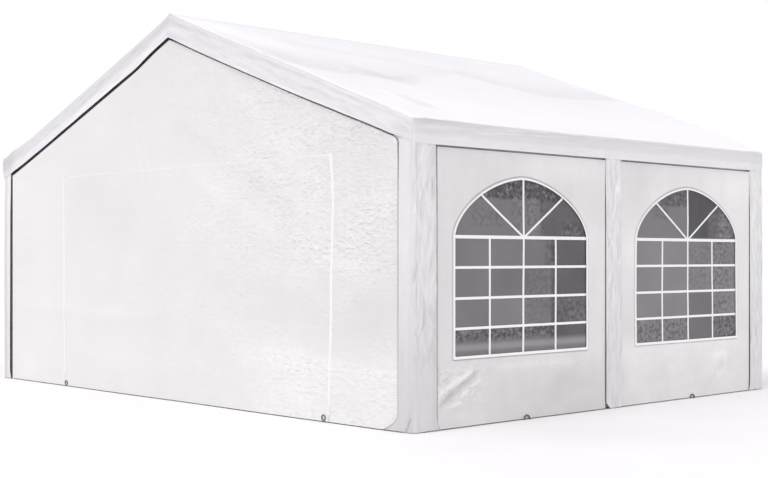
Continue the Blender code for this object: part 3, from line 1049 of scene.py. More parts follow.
def makeGable():
    look = gableLook
    cell, gap, run = look["cell"], look["cutGap"] / 2, look["tuckRun"]
    left, right = doorLow.x, doorHigh.x
    stops = [-flankX, -faceLeft - run, -faceLeft, left - gap, left + gap, 0, right - gap, right + gap]
    stops += [faceRight - look["cornerRound"], faceRight, faceRight + run, flankX]
    columns = spaced(stops, [0.012, 0.0015, cell, 1, cell, cell, 1, cell, 0.0045, 0.0015, 0.012])
    low = spaced([hemZ, doorTop - gap, doorTop + gap], [cell, 1])
    high = spaced([0, 1], [cell / (faceTop(0) - doorTop)])[1:]
    tucked = np.arange(0.0015, run + 0.001, 0.0015)

    x, level = np.meshgrid(columns, np.arange(len(low) + len(high) + len(tucked) + 3), indexing="ij")
    top = faceTop(columns)[:, None]
    under = (rakeZ(columns) - look["tuckEnd"])[:, None]
    z = np.concatenate([
        np.repeat(low[None], len(columns), 0),
        low[-1] + (top - low[-1]) * high,
        top + tucked,
        top + run + (under - top - run) * np.array([1 / 3, 2 / 3, 1]),
    ], axis=1)
    face = np.where(x < 0, faceLeft, faceRight)
    turn = np.where(x < 0, 0.0, look["cornerRound"] - look["slotRight"])
    overX, overZ = np.abs(x) - face + turn, z - top + turn
    beyond = np.where((overX > 0) & (overZ > 0), np.hypot(overX, overZ), np.maximum(overX, overZ)) - turn
    inward = look["tuck"] * smooth(beyond / run)
    shifted = x + sway(x, z) * (np.abs(x) < face)
    y = -(wallY + gableLift(shifted, z)) + inward
    points = np.stack([shifted, y, z], -1)

    before, after = columns[:-1], columns[1:]
    inDoorX = (before > left) & (after < right)
    inDoorZ = level[0, 1:] < len(low) - 1
    cutX = ((before < left) & (after > left)) | ((before < right) & (after > right))
    cutZ = level[0, 1:] == len(low) - 1
    door = inDoorX[:, None] & inDoorZ
    cut = (cutX[:, None] & (inDoorZ | cutZ)) | (inDoorX[:, None] & cutZ)
    crumple = gableCrumple(shifted, z)
    # painted shade where the cloth tucks in behind the covers, darkest on the left
    tone = gableToneAndPaintedShade(x, z) - np.where(x < 0, *look["slotShade"]) * smooth(beyond / run)
    pieces = []
    for name, keep in (("gableWallFront", ~door & ~cut), ("doorPanelFront", door)):
        place = np.stack([shifted, z], -1)
        pieces.append(gridCloth(name, points, place, z - hemZ, crumple, wallCloth, keep=keep, tone=tone))
    return pieces


def makeZips():
    look = zipLook
    strips, coils, slider = [], [], []

    def twoRows(offset):
        return look["coilHeight"] * np.abs(np.sin(2 * np.pi * offset / look["coil"]))

    for side in ("right", "left"):
        heights = np.linspace(look["lowZ"], doorTop + 0.008, 60)
        path = np.stack([zipX(side, heights), heights], -1)
        strips.append(tapeStrip(path, look["width"], 0.0012, gablePlace, step=0.02))
        rows = tapeStrip(path, look["coil"], 0.0016, gablePlace, columns=12, step=0.02, profile=twoRows)
        coils.append(rows)
        # the slider with its pull at the bottom
        x = float(zipX(side, look["sliderZ"]))
        halfPull = look["pullLength"] / 2
        for z, height, halves in (
            (look["sliderZ"], 0.0040, (0.0055, 0.0026, 0.0075)),
            (look["pullZ"], 0.0070, (0.0022, 0.0010, 0.0050)),
            (look["pullZ"] - halfPull, 0.0066, (0.0035, 0.0008, halfPull)),
        ):
            slider.append((gablePlace(np.array(x), np.array(z), height), halves, np.eye(3)))
    # the seam over the door
    half = look["width"] / 2
    across = np.linspace(zipX("left", doorTop) - half, zipX("right", doorTop) + half, 90)
    seam = np.stack([across, np.full_like(across, doorTop)], -1)
    seamStrip = tapeStrip(seam, 0.016, 0.0006, gablePlace, step=0.03)
    return (
        tapePiece("doorZipFront", strips, zipTape),
        tapePiece("doorSeamFront", [seamStrip], wallCloth, tone=0.035),
        tapePiece("zipCoilsFront", coils, zipTeeth),
        boxesPiece("zipSlidersFront", slider, zipTeeth),
    )


gableWall, doorPanel = makeGable()
doorZip, doorSeam, zipCoils, zipSliders = makeZips()
for piece, slot, *nodes in (
    (gableWall, "white_cloth", "gable_wall_"),
    (doorPanel, "white_cloth", "door_panel_"),
    (doorZip, "zip_tape", "door_zip_"),
    (doorSeam, "zip_tape"),
    (zipCoils, "zip_tape"),
    (zipSliders, "zip_tape"),
):
    for obj, end in ((piece, "front"), (turnedCopy(piece), "back")):
        dress(obj, slot, *(node + end for node in nodes))
        if slot == "white_cloth":
            declareSheet(obj, "hung", "rafter_right_" + end, "rafter_left_" + end)
print("gable walls and doors made")


# The side walls: a window in each, with its film, welded rim and bars

def inFront(y):
    return y < 0


sideLook = {
    "around": 372,  # grid lines round a window
    "rings": 30,  # from the window out to the edge of the wall
    "tuck": 0.030,
    "slotTop": 0.0105,
    "slotNear": {"front": 0.017, "back": 0.004},  # dark gap on the side nearer the front
    "slotFar": {"front": 0.0015, "back": 0.004},
    "postEdge": 0.0225,  # behind the covers the cloth runs on to here, from the middle of the side
    "eaveEdge": 1.868,  # and up to here
    "billow": 0.005,
    "ripple": (0.0008, 0.0017),  # and how much more of it there is under the windows
    "ledge": (0.0016, 0.425, 0.006),  # height, middle and half width of a fold under the sills
    "crumpled": 0.005,  # height of the crumples near the front corner
    "grooveShade": (0.16, 0.12),  # painted shade in the groove round the rims, and how much more of it there is at the arch
    # soft folds, as foldHeights reads them, with the painted shade or highlight that foldShades lays
    # along each
    "folds": (
        (((-1.79, 0.200), (-1.67, 0.262), (-1.47, 0.345)), 0.018, 0.019, 0.17),
        (((-1.76, 0.145), (-1.62, 0.234), (-1.42, 0.333)), -0.014, 0.019, -0.17),
        (((-1.56, 0.200), (-1.48, 0.249), (-1.39, 0.290)), 0.012, 0.008, 0.26),
        (((-1.69, 0.137), (-1.56, 0.158)), 0.011, 0.008, 0.24),
        (((-1.22, 0.360), (-0.80, 0.352), (-0.45, 0.345)), 0.002, 0.020, 0.05),
        (((-0.75, 0.20), (-0.42, 0.24)), 0.003, 0.070, -0.05),
        (((1.10, 0.06), (1.50, 0.38)), 0.010, 0.060, -0.03),
    ),
    # soft upright strips: where each begins and ends, then how much lighter it is at these heights
    "strips": (
        (
            (-0.55, -0.2), (0.0, -0.1),
            (0.5, 0.9, 1.2, 1.42, 1.6, 1.7), (0.03, 0.05, 0.07, 0.0, 0.02, 0.05),
        ),
        (
            (0.0, 0.05), (0.65, 0.3),
            (0.4, 0.55, 0.85, 1.12, 1.4, 1.6), (-0.05, -0.17, -0.12, -0.04, -0.14, -0.17),
        ),
        ((0.3, 0.65), (1.35, 0.9), (0.4, 1.45, 1.6), (-0.05, -0.05, -0.09)),
        ((0.9, 1.35), (2.0, 1.95), (0.4, 0.5, 1.45, 1.6), (-0.05, -0.12, -0.08, -0.03)),
    ),
    "farWall": 0.15,  # the wall further back is this much lighter
    # painted soft shade and light: how much lighter, where along the side, where up, and where it ends
    "shades": (
        (-0.025,),
        (-0.02, fade(-1.5, -1.8)),
        (-0.014, inFront, fade(1.65, 1.45)),
        (0.014, swell(-1.3, 0.22), swell(1.72, 0.10)),
        (0.085, fade(-1.15, -0.8), fade(1.50, 1.66), fade(-0.15, -0.45)),
    ),
    # near the ground the cloth is darker, by this much at these places
    "footShade": ((-1.7, -1.4, -0.9, -0.3, 0.3), (-0.03, 0, 0.085, 0.115, 0.065)),
    "footHeight": (0.42, 0.2),
    # pale crumpled patches low on the far wall: how much, where along and where up
    "patches": (
        (0.13, swell(1.37, 0.11), swell(0.27, 0.17)),
        (0.078, swell(0.75, 0.05), swell(0.25, 0.05)),
    ),
}
windowLook = {
    "middles": {"front": 1.03, "back": 2.93},  # from the front corner
    "halfWidth": 0.66,
    "sill": 0.44,
    "spring": 1.19,
    "crown": 1.57,
    "archPower": 1.7,  # 2 is an ellipse, less is more pointed
    "rim": (-0.004, 0.013),  # the welded rim lies from here to here, off the opening
    "groove": 0.008,  # the cloth dips round the rim, by this much
    "rimSlim": 0.006,  # and is this much narrower round the arch
    "bar": 0.0168,
    "springBar": 0.0215,
    "uprights": (-0.33, 0.0, 0.33),
    "crossbars": (0.616, 0.805, 0.998),
    "spokeEnds": ((-0.405, 1.455), (0.405, 1.455)),
    # lighter and darker boxes on the film: from low to high corner, how much lighter and how mottled
    "haze": {
        "front": (
            ((-0.8, 0.3), (0.8, 1.7), 0.33, 0.0),
            ((0.285, 0.53), (0.8, 1.7), -0.30, 0.08),
            ((-0.6, 1.437), (0.6, 1.7), -0.36, 1.0),
            ((0.17, 1.19), (0.285, 1.437), -0.24, 0.1),
            ((-0.42, 1.429), (0.30, 1.434), 0.16, 0.0),
            ((-0.5, 1.27), (-0.2, 1.40), -0.04, 0.30),
            ((-0.12, 1.24), (0.22, 1.437), -0.02, 0.35),
            ((0.4, 1.19), (0.8, 1.29), -0.03, 0.55),
            ((0.0, 0.805), (0.285, 1.19), -0.06, 0.0),
            ((0.22, 0.998), (0.33, 1.19), -0.08, 0.45),
            ((0.0, 0.616), (0.33, 0.998), -0.03, 0.25),
            ((-0.33, 0.616), (0.0, 0.805), 0.09, 0.0),
            ((0.33, 0.616), (0.8, 0.805), 0.07, 0.42),
            ((-0.8, 0.54), (0.33, 0.616), -0.22, 0.9),
            ((-0.8, 0.474), (0.8, 0.514), 0.38, 0.0),
            ((-0.33, 0.805), (0.0, 0.998), -0.05, 0.0),
        ),
        "back": (
            ((-0.8, 0.3), (0.8, 1.7), 0.48, 0.0),
            ((0.0, 0.616), (0.8, 1.19), -0.06, 0.3),
            ((0.0, 0.998), (0.8, 1.19), -0.06, 0.0),
            ((0.33, 0.616), (0.55, 1.19), -0.04, 0.3),
            ((0.0, 0.616), (0.33, 0.805), -0.19, -0.25),
            ((-0.8, 0.3), (0.0, 0.616), -0.12, 0.65),
            ((0.0, 0.3), (0.33, 0.616), -0.28, 0.0),
            ((0.33, 0.3), (0.8, 0.616), -0.32, 0.85),
            ((-0.8, 1.19), (0.0, 1.7), -0.12, 0.0),
            ((-0.38, 1.44), (0.0, 1.7), -0.32, 0.8),
            ((-0.45, 1.34), (-0.25, 1.44), -0.12, 0.4),
            ((0.0, 1.19), (0.8, 1.7), -0.56, 0.05),
            ((0.28, 1.19), (0.8, 1.39), 0.12, 0.3),
            ((0.42, 1.19), (0.8, 1.43), 0.19, 0.4),
        ),
    },
    "hazeEdge": 0.012,  # half of the width over which a box fades out
    "filmBack": 0.0045,  # the film lies this far behind the wall
    "filmUnder": 0.009,  # and reaches this far beyond the opening
    "filmWave": 0.0016,
}


def insideWindow(u, z, offset):
    look = windowLook
    half, rise = look["halfWidth"] + offset, look["crown"] - look["spring"] + offset
    above = ((z - look["spring"]) / rise).clip(0)
    arch = (np.abs(u) / half).clip(0) ** look["archPower"] + above ** look["archPower"] <= 1
    return np.where(z > look["spring"], arch, (np.abs(u) <= half) & (z >= look["sill"] - offset))


# How far from a window's middle its outline is, in each direction
def windowReach(angle, offset):
    low, high = np.zeros(np.shape(angle)), np.full(np.shape(angle), 1.5)
    for _ in range(40):
        reach = (low + high) / 2
        inside = insideWindow(reach * np.cos(angle), windowHub + reach * np.sin(angle), offset)
        low, high = np.where(inside, reach, low), np.where(inside, high, reach)
    return low


windowHub = (windowLook["sill"] + windowLook["spring"]) / 2 + 0.1


# Directions from a window's middle, evenly spaced along the opening and through every given corner
def windowAngles(count, corners):
    turn = np.linspace(-np.pi, np.pi, 4001)
    reach = windowReach(turn, 0)
    outline = np.stack([reach * np.cos(turn), reach * np.sin(turn)], -1)
    runs = np.append(0, np.cumsum(np.hypot(*np.diff(outline, axis=0).T)))
    angles = np.interp(np.linspace(0, runs[-1], count, endpoint=False), runs, turn)
    for u, z in corners:
        corner = math.atan2(z - windowHub, u)
        angles[np.argmin(np.abs(angles - corner))] = corner
    return np.sort(angles)


def ringPoints(angles, reach, middle):
    return middle + reach * np.cos(angles), windowHub + reach * np.sin(angles)


def sideLift(y, z):
    look = sideLook
    lift = look["billow"] * hills(y / 0.8 + 7, z / 0.7, 61)
    ripple, lowRipple = look["ripple"]
    lift += (ripple + lowRipple * smooth(z, 0.43, 0.33)) * hills(y / 0.22, z / 0.16, 62)
    size, middle, width = look["ledge"]
    lift += foldHeights(look["folds"], y, z) + size * bell(z, middle, width)
    crumpled = look["crumpled"] * smooth(y, -1.35, -1.7) * smooth(z, 0.42, 0.3)
    lift += crumpled * creases(y / 0.10, z / 0.06, 63, 2.0)
    bay = np.minimum(np.abs(y) - postStrip, halfY - sideStrip - np.abs(y))
    return lift * smooth(bay, 0.0, 0.08) * smooth(z, sideHemZ - 0.01, sideHemZ - 0.10)


# Painted shade and highlight over a side wall, with random tone: how much lighter it is
def sideToneAndPaintedShade(y, z):
    look = sideLook
    tone = softMarks(look["shades"], y, z, y) + foldShades(look["folds"], y, z)
    tone += look["farWall"] * (y > 0)
    tone += 0.030 * hills(y / 0.26 + 4, z / 0.6, 65) + 0.018 * hills(y / 0.09, z / 0.3, 66)
    for low, high, heights, shades in look["strips"]:
        tone += smooth(y, *low) * smooth(y, *high) * np.interp(z, heights, shades)
    tone -= np.interp(y, *look["footShade"]) * smooth(z, *look["footHeight"])
    tone += 0.026 * hills(y / 0.17, z / 0.08, 67) * smooth(z, 0.43, 0.39)
    broken = smooth(hills(y / 0.07, z / 0.07, 68), -0.5, 0.5)
    return tone + softMarks(look["patches"], y, z) * broken


def sidePlace(y, z, height):
    return np.stack([wallX + sideLift(y, z) + height, y, z], -1)


def filmHeight(y, z):
    look = windowLook
    waves = 0.5 * hills(y / 0.3, z / 0.25, 71) + 0.3 * hills(y / 0.07, z / 0.05, 72)
    return -look["filmBack"] + look["filmWave"] * waves.clip(-1, 1)


def makeSideWall(name, yLow, yHigh, middle):
    look = sideLook
    top, run, tuck = sideHemZ - look["slotTop"], gableLook["tuckRun"], look["tuck"]
    corners = [(y - middle, z) for y in (yLow, yHigh) for z in (hemZ, top)]
    half = windowLook["halfWidth"]
    corners += [(u, z) for u in (-half, half) for z in (windowLook["sill"], windowLook["spring"])]
    angles = windowAngles(look["around"], corners)
    cosine, sine = np.cos(angles), np.sin(angles)
    with np.errstate(divide="ignore"):
        reachY = np.where(cosine > 0, yHigh - middle, yLow - middle) / cosine
        reachZ = np.where(sine > 0, top - windowHub, hemZ - windowHub) / sine
    outer = np.minimum(reachY, reachZ)
    rimEdge = windowLook["rim"][1]
    beside = np.array([0, 0.5 * rimEdge, rimEdge - 0.001] + [rimEdge + k * 0.002 for k in range(1, 6)])
    close = np.array([windowReach(angles, offset) for offset in beside])
    share = np.linspace(0, 1, look["rings"] + 1)[1:, None]
    y, z = ringPoints(angles, np.concatenate([close, close[-1] + share * (outer - close[-1])]), middle)
    face = len(y)
    dip = np.zeros((face, 1))
    dip[: len(beside), 0] = windowLook["groove"] * bell(beside, rimEdge + 0.004, 0.0032)

    # beyond the edge the cloth turns in and runs on to the posts and the eave tube
    near = 1e-6
    sideways = np.sign(cosine) * (reachY <= reachZ * (1 + near))
    upwards = (reachZ <= reachY * (1 + near)) & (sine > 0)
    atHem = (reachZ <= reachY * (1 + near)) & (sine < 0)
    flanks = (look["postEdge"], flankY) if middle > 0 else (-flankY, -look["postEdge"])
    toFlank = np.where(sideways > 0, flanks[1] - yHigh, yLow - flanks[0]) - run
    toEave = look["eaveEdge"] - top - run
    steps = [(k * run / 4, 0) for k in (1, 2, 3, 4)] + [(run, k / 4) for k in (1, 2, 3, 4)]
    rows = [(sideways * (a + b * toFlank), upwards * (a + b * toEave)) for a, b in steps]
    y = np.concatenate([y] + [(y[-1] + across)[None] for across, _ in rows])
    z = np.concatenate([z] + [(z[-1] + up)[None] for _, up in rows])
    inward = np.concatenate([dip, [[tuck * smooth(a / run)] for a, _ in steps]])
    x = wallX + sideLift(y, z) - inward

    index = np.arange(y.size).reshape(y.shape)
    quads = gridQuads(np.concatenate([index, index[:, :1]], axis=1))
    alongHem = atHem & np.roll(atHem, -1)
    keep = np.ones(quads.shape[:2], bool)
    keep[face - 1 :, alongHem] = False
    points = np.stack([x, y, z], -1).reshape(-1, 3)
    place = np.stack([y, z], -1).reshape(-1, 2)
    rough = smooth(y, -1.2, -1.6) * smooth(z, 0.43, 0.38) * smooth(z, 0.08, 0.2)
    crumple = (0.15 + 0.85 * rough + 0.25 * bell(y, -0.8, 0.35) * bell(z, 0.35, 0.05)).ravel()
    tone = sideToneAndPaintedShade(y, z)
    # painted shade in the groove round the rim
    shade, archShade = look["grooveShade"]
    tone[:face] -= (shade + archShade * smooth(sine, 0.3, 0.7)) * dip / windowLook["groove"]
    return clothPiece(name, points, quads[keep], place, (z - hemZ).ravel(), crumple, sideCloth, tone=tone)


def makeFilm(name, middle, end):
    look = windowLook
    under, fading = look["filmUnder"], look["hazeEdge"]
    low, high = look["sill"] - under, look["crown"] + under
    arch = look["spring"] + (high - look["spring"]) * np.sin(np.linspace(0, np.pi / 2, 22))[1:]
    rows = np.concatenate([np.linspace(low, look["spring"], 42), arch])
    above = ((rows - look["spring"]) / (high - look["spring"])).clip(0, 1)
    half = (look["halfWidth"] + under) * (1 - above ** look["archPower"]) ** (1 / look["archPower"])
    y = middle + np.linspace(-1, 1, 65)[:, None] * half.clip(0.012)
    z = np.broadcast_to(rows, y.shape)
    points = sidePlace(y, z, filmHeight(y, z))
    u = y - middle
    tone, crumple = 0 * u, 0 * u
    for low, high, shade, mottled in look["haze"][end]:
        within = 1
        for value, start, stop in ((u, low[0], high[0]), (z, low[1], high[1])):
            within = within * smooth(value, start - fading, start + fading)
            within = within * smooth(value, stop + fading, stop - fading)
        tone, crumple = tone + shade * within, crumple + mottled * within
    place = np.stack([u, z], -1)
    more = {"thickness": 0.0006, "tone": tone}
    return gridCloth(name, points, place, np.ones_like(z), crumple, windowFilm, **more)


# Rim and bars: flat strips welded on the film and over the edge of the wall
def makeWindowBars(name, middle):
    look = windowLook

    def onFilm(u, z, height):
        return sidePlace(middle + u, z, filmHeight(middle + u, z) + height)

    def archHeight(u):
        power, across = look["archPower"], (np.abs(u) / look["halfWidth"]).clip(0, 1)
        return look["spring"] + (look["crown"] - look["spring"]) * (1 - across**power) ** (1 / power)

    strips = []
    half = look["halfWidth"] - 0.002
    for u in look["uprights"]:
        top = archHeight(0) if u == 0 else look["spring"]
        strips.append(tapeStrip([(u, look["sill"]), (u, top)], look["bar"], 0.0010, onFilm))
    for z in look["crossbars"]:
        strips.append(tapeStrip([(-half, z), (half, z)], look["bar"], 0.0014, onFilm))
    spring = look["spring"]
    strips.append(tapeStrip([(-half, spring), (half, spring)], look["springBar"], 0.0018, onFilm))
    for u, z in look["spokeEnds"]:
        strips.append(tapeStrip([(0, spring), (u, z)], 0.85 * look["bar"], 0.0014, onFilm))
    inner, outer = look["rim"]
    angles = windowAngles(260, [(u, z) for u in (-half, half) for z in (look["sill"], spring)])
    outer = outer - look["rimSlim"] * smooth(np.sin(angles), 0.35, 0.75)
    reach = np.linspace(windowReach(angles, inner), windowReach(angles, outer), 6)
    y, z = ringPoints(angles, reach, middle)
    y, z = (np.concatenate([values, values[:, :1]], axis=1) for values in (y, z))
    strips.append((sidePlace(y, z, 0.0014), np.stack([y, z], -1)))
    return tapePiece(name, strips, barWeld)


for end, low, high in (("front", sideStrip - halfY, -postStrip), ("back", postStrip, halfY - sideStrip)):
    middle = windowLook["middles"][end] - halfY
    low, high = low + sideLook["slotNear"][end], high - sideLook["slotFar"][end]
    label = "Right" + end.capitalize()
    made = (
        makeSideWall("sideWall" + label, low, high, middle),
        makeFilm("windowFilm" + label, middle, end),
        makeWindowBars("windowBars" + label, middle),
    )
    # the copies are made before the pieces are dressed
    copies = [turnedCopy(piece) for piece in made]
    for side, at, (hung, pane, welded) in (("right", end, made), ("left", turnedName(end), copies)):
        dress(hung, "white_cloth", f"side_wall_{side}_{at}")
        declareSheet(hung, "hung", f"eave_tube_{side}_{at}")
        dress(pane, "window_film", f"window_film_{side}_{at}")
        declareSheet(pane, "stretched", hung.name)
        dress(welded, "white_cloth")
print("side walls and windows made")


# The covers over the posts: L-shaped at the corners, flat in the middle of each side

coverLook = {
    "tuckedUp": 0.036,  # behind the valance
    "cornerRadius": 0.026,
    "inside": 0.0028,  # the flat cloth lies this far inside the side of the roof
    "standOff": (0.0010, 0.0055),  # above it, and how much more near the ground
    "wrinkle": 0.0040,
    "crumple": 0.75,
    "calm": 0.35,  # the faces towards the gable are this much as crumpled as the others
    # scattered creases: low and high corner, number, length, half width and lean
    "strokes": ((0.0, 0.45), (0.19, 1.70), 40, 0.17, 0.0075, 0.55),
    "strokeHeight": 0.0030,
    "foldAt": ((-0.050, 0.0), (-0.014, 0.085)),  # the fold at the near foot, from end to end
    "lip": 0.003,  # how far the free edges stand off at the foot
    "postFoot": (0.05, 0.045, 1),  # near the ground the post covers' front edge is turned back
    # painted shade, as how much greyer: at the free edges, in streaks along the creases with painted
    # highlight on the raised ones, on the corner, and in the near cover's fold, behind its corner and by
    # its side edge, and in the far cover's middle
    "edgeShade": 0.35,
    "postEdgeShade": 0.04,
    "streaks": 0.075,
    "cornerShade": 0.04,
    "foldShade": 0.22,
    "bendShade": 0.14,
    "sideEdgeShade": 0.06,
    "farShade": 0.14,
    # painted shade, as how much lighter the covers are at these heights: they get darker towards the
    # ground
    "heights": (0.2, 0.5, 1.15, 1.65),
    "nearGable": (-0.21, -0.155, -0.04, -0.06),
    "nearSide": (-0.10, -0.07, 0.035, 0.0),
    "others": (-0.045, -0.04, 0.01, 0.04),
}


# Painted shade: how much lighter a cover is at each height
def coverShade(z, part):
    return np.interp(z, coverLook["heights"], coverLook[part])


# How far a free edge swings out near the ground, up to a height
def footSwing(z, size, height, power):
    return size * ((height - z).clip(0) / height) ** power


# rough is how crumpled each place is, from 0 to 1
def coverLift(d, z, edge, seed, rough):
    look = coverLook
    low = smooth(z, sideHemZ, sideHemZ - 0.4)
    least, more = look["standOff"]
    lift = least + more * low + look["lip"] * smooth(edge, 0.05, 0.0) * smooth(z, 1.2, 0.1)
    wave = hills(d / 0.042 + 9, z / 0.21, seed) + 0.8 * creases(d / 0.05, z / 0.30, seed + 1, 1.8)
    wave = look["wrinkle"] * wave + look["strokeHeight"] * strokes(d, z, seed + 3, *look["strokes"])
    lift += (0.2 + 0.8 * low) * rough * wave * smooth(edge, -0.01, 0.02)
    return lift.clip(0.0004) - 0.0015 * smooth(z, sideHemZ - 0.01, sideHemZ + 0.02)


# Painted shade along the free edges, painted shade and highlight in streaks along the creases, and a
# random mottle
def coverToneAndPaintedShade(d, z, edge, seed, rough, shade):
    look = coverLook
    tone = 0.020 * hills(d / 0.03 + 3, z / 0.16, seed + 2) - shade * smooth(edge, 0.005, 0.002)
    return tone + look["streaks"] * rough ** 0.5 * strokes(d, z, seed + 3, *look["strokes"])


# Painted shade and highlight on a corner cover, as how much lighter it is. d runs round the corner from
# the gable, and arc is the bend
def cornerToneAndPaintedShade(d, z, edge, seed, rough, arc, near):
    look = coverLook
    tone = coverToneAndPaintedShade(d, z, edge, seed, rough, look["edgeShade"] if near else 0.0)
    tone -= look["cornerShade"] * bell(d, 0, 0.6 * arc)
    if not near:
        middle = gableStrip - look["cornerRadius"]
        farther = smooth(-arc / 2 - d, 0.55 * middle, 0.3 * middle) * (d < 0)
        return tone + coverShade(z, "others") - look["farShade"] * farther
    gableShade, sideShade = coverShade(z, "nearGable"), coverShade(z, "nearSide")
    tone += gableShade + (sideShade - gableShade) * smooth(d, -arc / 2, arc / 2)
    tone -= look["sideEdgeShade"] * smooth(edge, 0.06, 0.02) * (d > 0)
    tone -= look["bendShade"] * bell(d, arc / 2, 0.005) * smooth(z, 0.6, 1.1)
    return tone - look["foldShade"] * foldLine(d, z, *look["foldAt"], 0.008)


# foot says how each free edge swings out, up to where the cover is smooth, how high its fold is
# and how it is rounded under the valance
def makeCornerCover(name, end, foot, seed):
    look = coverLook
    radius = look["cornerRadius"]
    arc = radius * math.pi / 2
    rows = spaced([0, 0.08, 0.97, 1], [0.0055, 0.0078, 0.004])
    first, last = -gableStrip + radius - arc / 2, sideStrip - radius + arc / 2
    stops = [first, first + 0.006, -arc / 2, arc / 2, last - 0.006, last]
    columns = spaced(stops, [0.002, 0.008, 0.005, 0.008, 0.002])
    d, v = np.meshgrid(columns, rows, indexing="ij")
    turn = ((d + arc / 2) / arc).clip(0, 1) * math.pi / 2
    before, after = (-arc / 2 - d).clip(0), (d - arc / 2).clip(0)
    hemLine = sideHemZ + (before + radius) * (gableHemZ - sideHemZ) / halfX * (d < 0)
    z = hemZ + v * (hemLine + look["tuckedUp"] - hemZ)
    gableFree, sideFree = gableStrip - radius, sideStrip - radius
    swingGable, swingSide = footSwing(z, *foot["gable"]), footSwing(z, *foot["side"])
    rounding = foot["round"]
    if rounding:
        below = (gableHem(halfX - gableStrip) - z).clip(0, rounding)
        swingGable += rounding - np.sqrt(rounding**2 - (rounding - below) ** 2)
    alongGable = before * (1 + swingGable / gableFree * (before / gableFree) ** 2)
    alongSide = after * (1 + swingSide / sideFree * (after / sideFree) ** 2)
    edge = np.where(d < 0, gableFree - before, sideFree - after)
    rough = look["calm"] + (1 - look["calm"]) * smooth(d, -0.02, 0.02)
    rough = rough * (1 - 0.85 * smooth(z, foot["smooth"] + 0.12, foot["smooth"]))
    lift = coverLift(d, z, edge, seed, rough)
    lift += foot["fold"] * foldLine(d, z, *look["foldAt"], 0.010)
    middleX, middleY = (half - look["inside"] - radius for half in (halfX, halfY))
    # the foot of the corner rounds off a little
    soften = 0.010 * smooth(z, 0.25, 0.0) * np.sin(2 * turn)
    x = middleX + (radius + lift - soften) * np.sin(turn) - alongGable
    y = end * (middleY + (radius + lift - soften) * np.cos(turn) - alongSide)
    points = np.stack([x, y, z], -1)
    # cloth place: across the strip, then up
    across = np.where(before > 0, -arc / 2 - alongGable, np.where(after > 0, arc / 2 + alongSide, d))
    place = np.stack([across, z], -1)
    hemAway = np.minimum(edge, z - hemZ)
    tone = cornerToneAndPaintedShade(d, z, edge, seed, rough, arc, end < 0)
    values = points, place, hemAway, look["crumple"] * rough, tone
    # the far cover is a mirror image, so its grid runs the other way
    points, place, hemAway, crumple, tone = (value[::-end] for value in values)
    return gridCloth(name, points, place, hemAway, crumple, coverCloth, tone=tone)


def makePostCover(name):
    look = coverLook
    rows = spaced([hemZ, 0.14, sideHemZ - 0.01, sideHemZ + look["tuckedUp"]], [0.010, 0.015, 0.008])
    columns = spaced([-postStrip, 0.006 - postStrip, postStrip - 0.006, postStrip], [0.002, 0.008, 0.002])
    d, z = np.meshgrid(columns, rows, indexing="ij")
    edge = postStrip - np.abs(d)
    lift = coverLift(d + 0.1, z, edge, 91, 1.0)
    y = d + footSwing(z, *look["postFoot"]) * smooth(d, 0.0, -postStrip)
    points = np.stack([halfX - look["inside"] + lift, y, z], -1)
    hemAway = np.minimum(edge, z - hemZ)
    tone = coverToneAndPaintedShade(d + 0.1, z, edge, 91, 1.0, look["postEdgeShade"] * (d < 0))
    tone += coverShade(z, "others")
    return gridCloth(name, points, np.stack([y, z], -1), hemAway, look["crumple"], coverCloth, tone=tone)


nearFoot = {
    "gable": (0.145, 0.128, 2.45), "side": (0.03, 0.10, 2),
    "smooth": 0.36, "fold": -0.008, "round": gableLook["cornerRound"],
}
farFoot = {
    "gable": (0.025, 0.10, 2.45), "side": (0.02, 0.10, 2),
    "smooth": -0.2, "fold": 0.0, "round": 0.0,
}
nearCover = makeCornerCover("cornerCoverRightFront", -1, nearFoot, 81)
farCover = makeCornerCover("cornerCoverRightBack", 1, farFoot, 85)
for piece, *names in (
    (nearCover, "corner_cover_right_front", "eave_tube_right_front"),
    (farCover, "corner_cover_right_back", "eave_tube_right_back"),
    (makePostCover("postCoverRight"), "post_cover_right", "eave_tube_right_front"),
):
    for obj, names in ((piece, names), (turnedCopy(piece), [turnedName(name) for name in names])):
        dress(obj, "white_cloth", names[0])
        declareSheet(obj, "hung", names[1])
print("covers made")


# Wire loops at the hems for the ground pegs: small rings in front, wide half rings at the side

eyeletLook = {
    "gable": (-1.477, 1.746),  # places along the front hem
    "gableRing": (0.017, 0.0036),  # radius to the middle of the wire, and the wire's own
    "side": (1.057, 2.975),  # along the side hem, from the front corner
    "sideRing": (0.027, 0.0050),
    "around": 28,  # steps round a ring, and round its wire
    "aroundWire": 10,
}


# spots holds for each ring its middle, the direction to its right, its sizes and its share of a turn
def makeEyelets(name, spots):
    rings = []
    around, tube = eyeletLook["around"], eyeletLook["aroundWire"]
    for middle, right, (radius, wire), share in spots:
        u, v = np.meshgrid(np.arange(around + 1), np.arange(tube + 1), indexing="ij")
        a, b = 2 * np.pi * share * u / around, 2 * np.pi * v / tube
        reach = radius + wire * np.cos(b)
        shares = reach * np.cos(a), reach * np.sin(a), wire * np.sin(b)
        directions = (right[0], right[1], 0), (0, 0, 1), (right[1], -right[0], 0)
        ring = np.array(middle) + sum(
            part[..., None] * np.array(direction, float) for part, direction in zip(shares, directions)
        )
        rings.append((ring, ring[..., :2]))
    points, _, quads = joinGrids(rings)
    return solidPiece(name, points, quads[:, ::-1], darkWire)


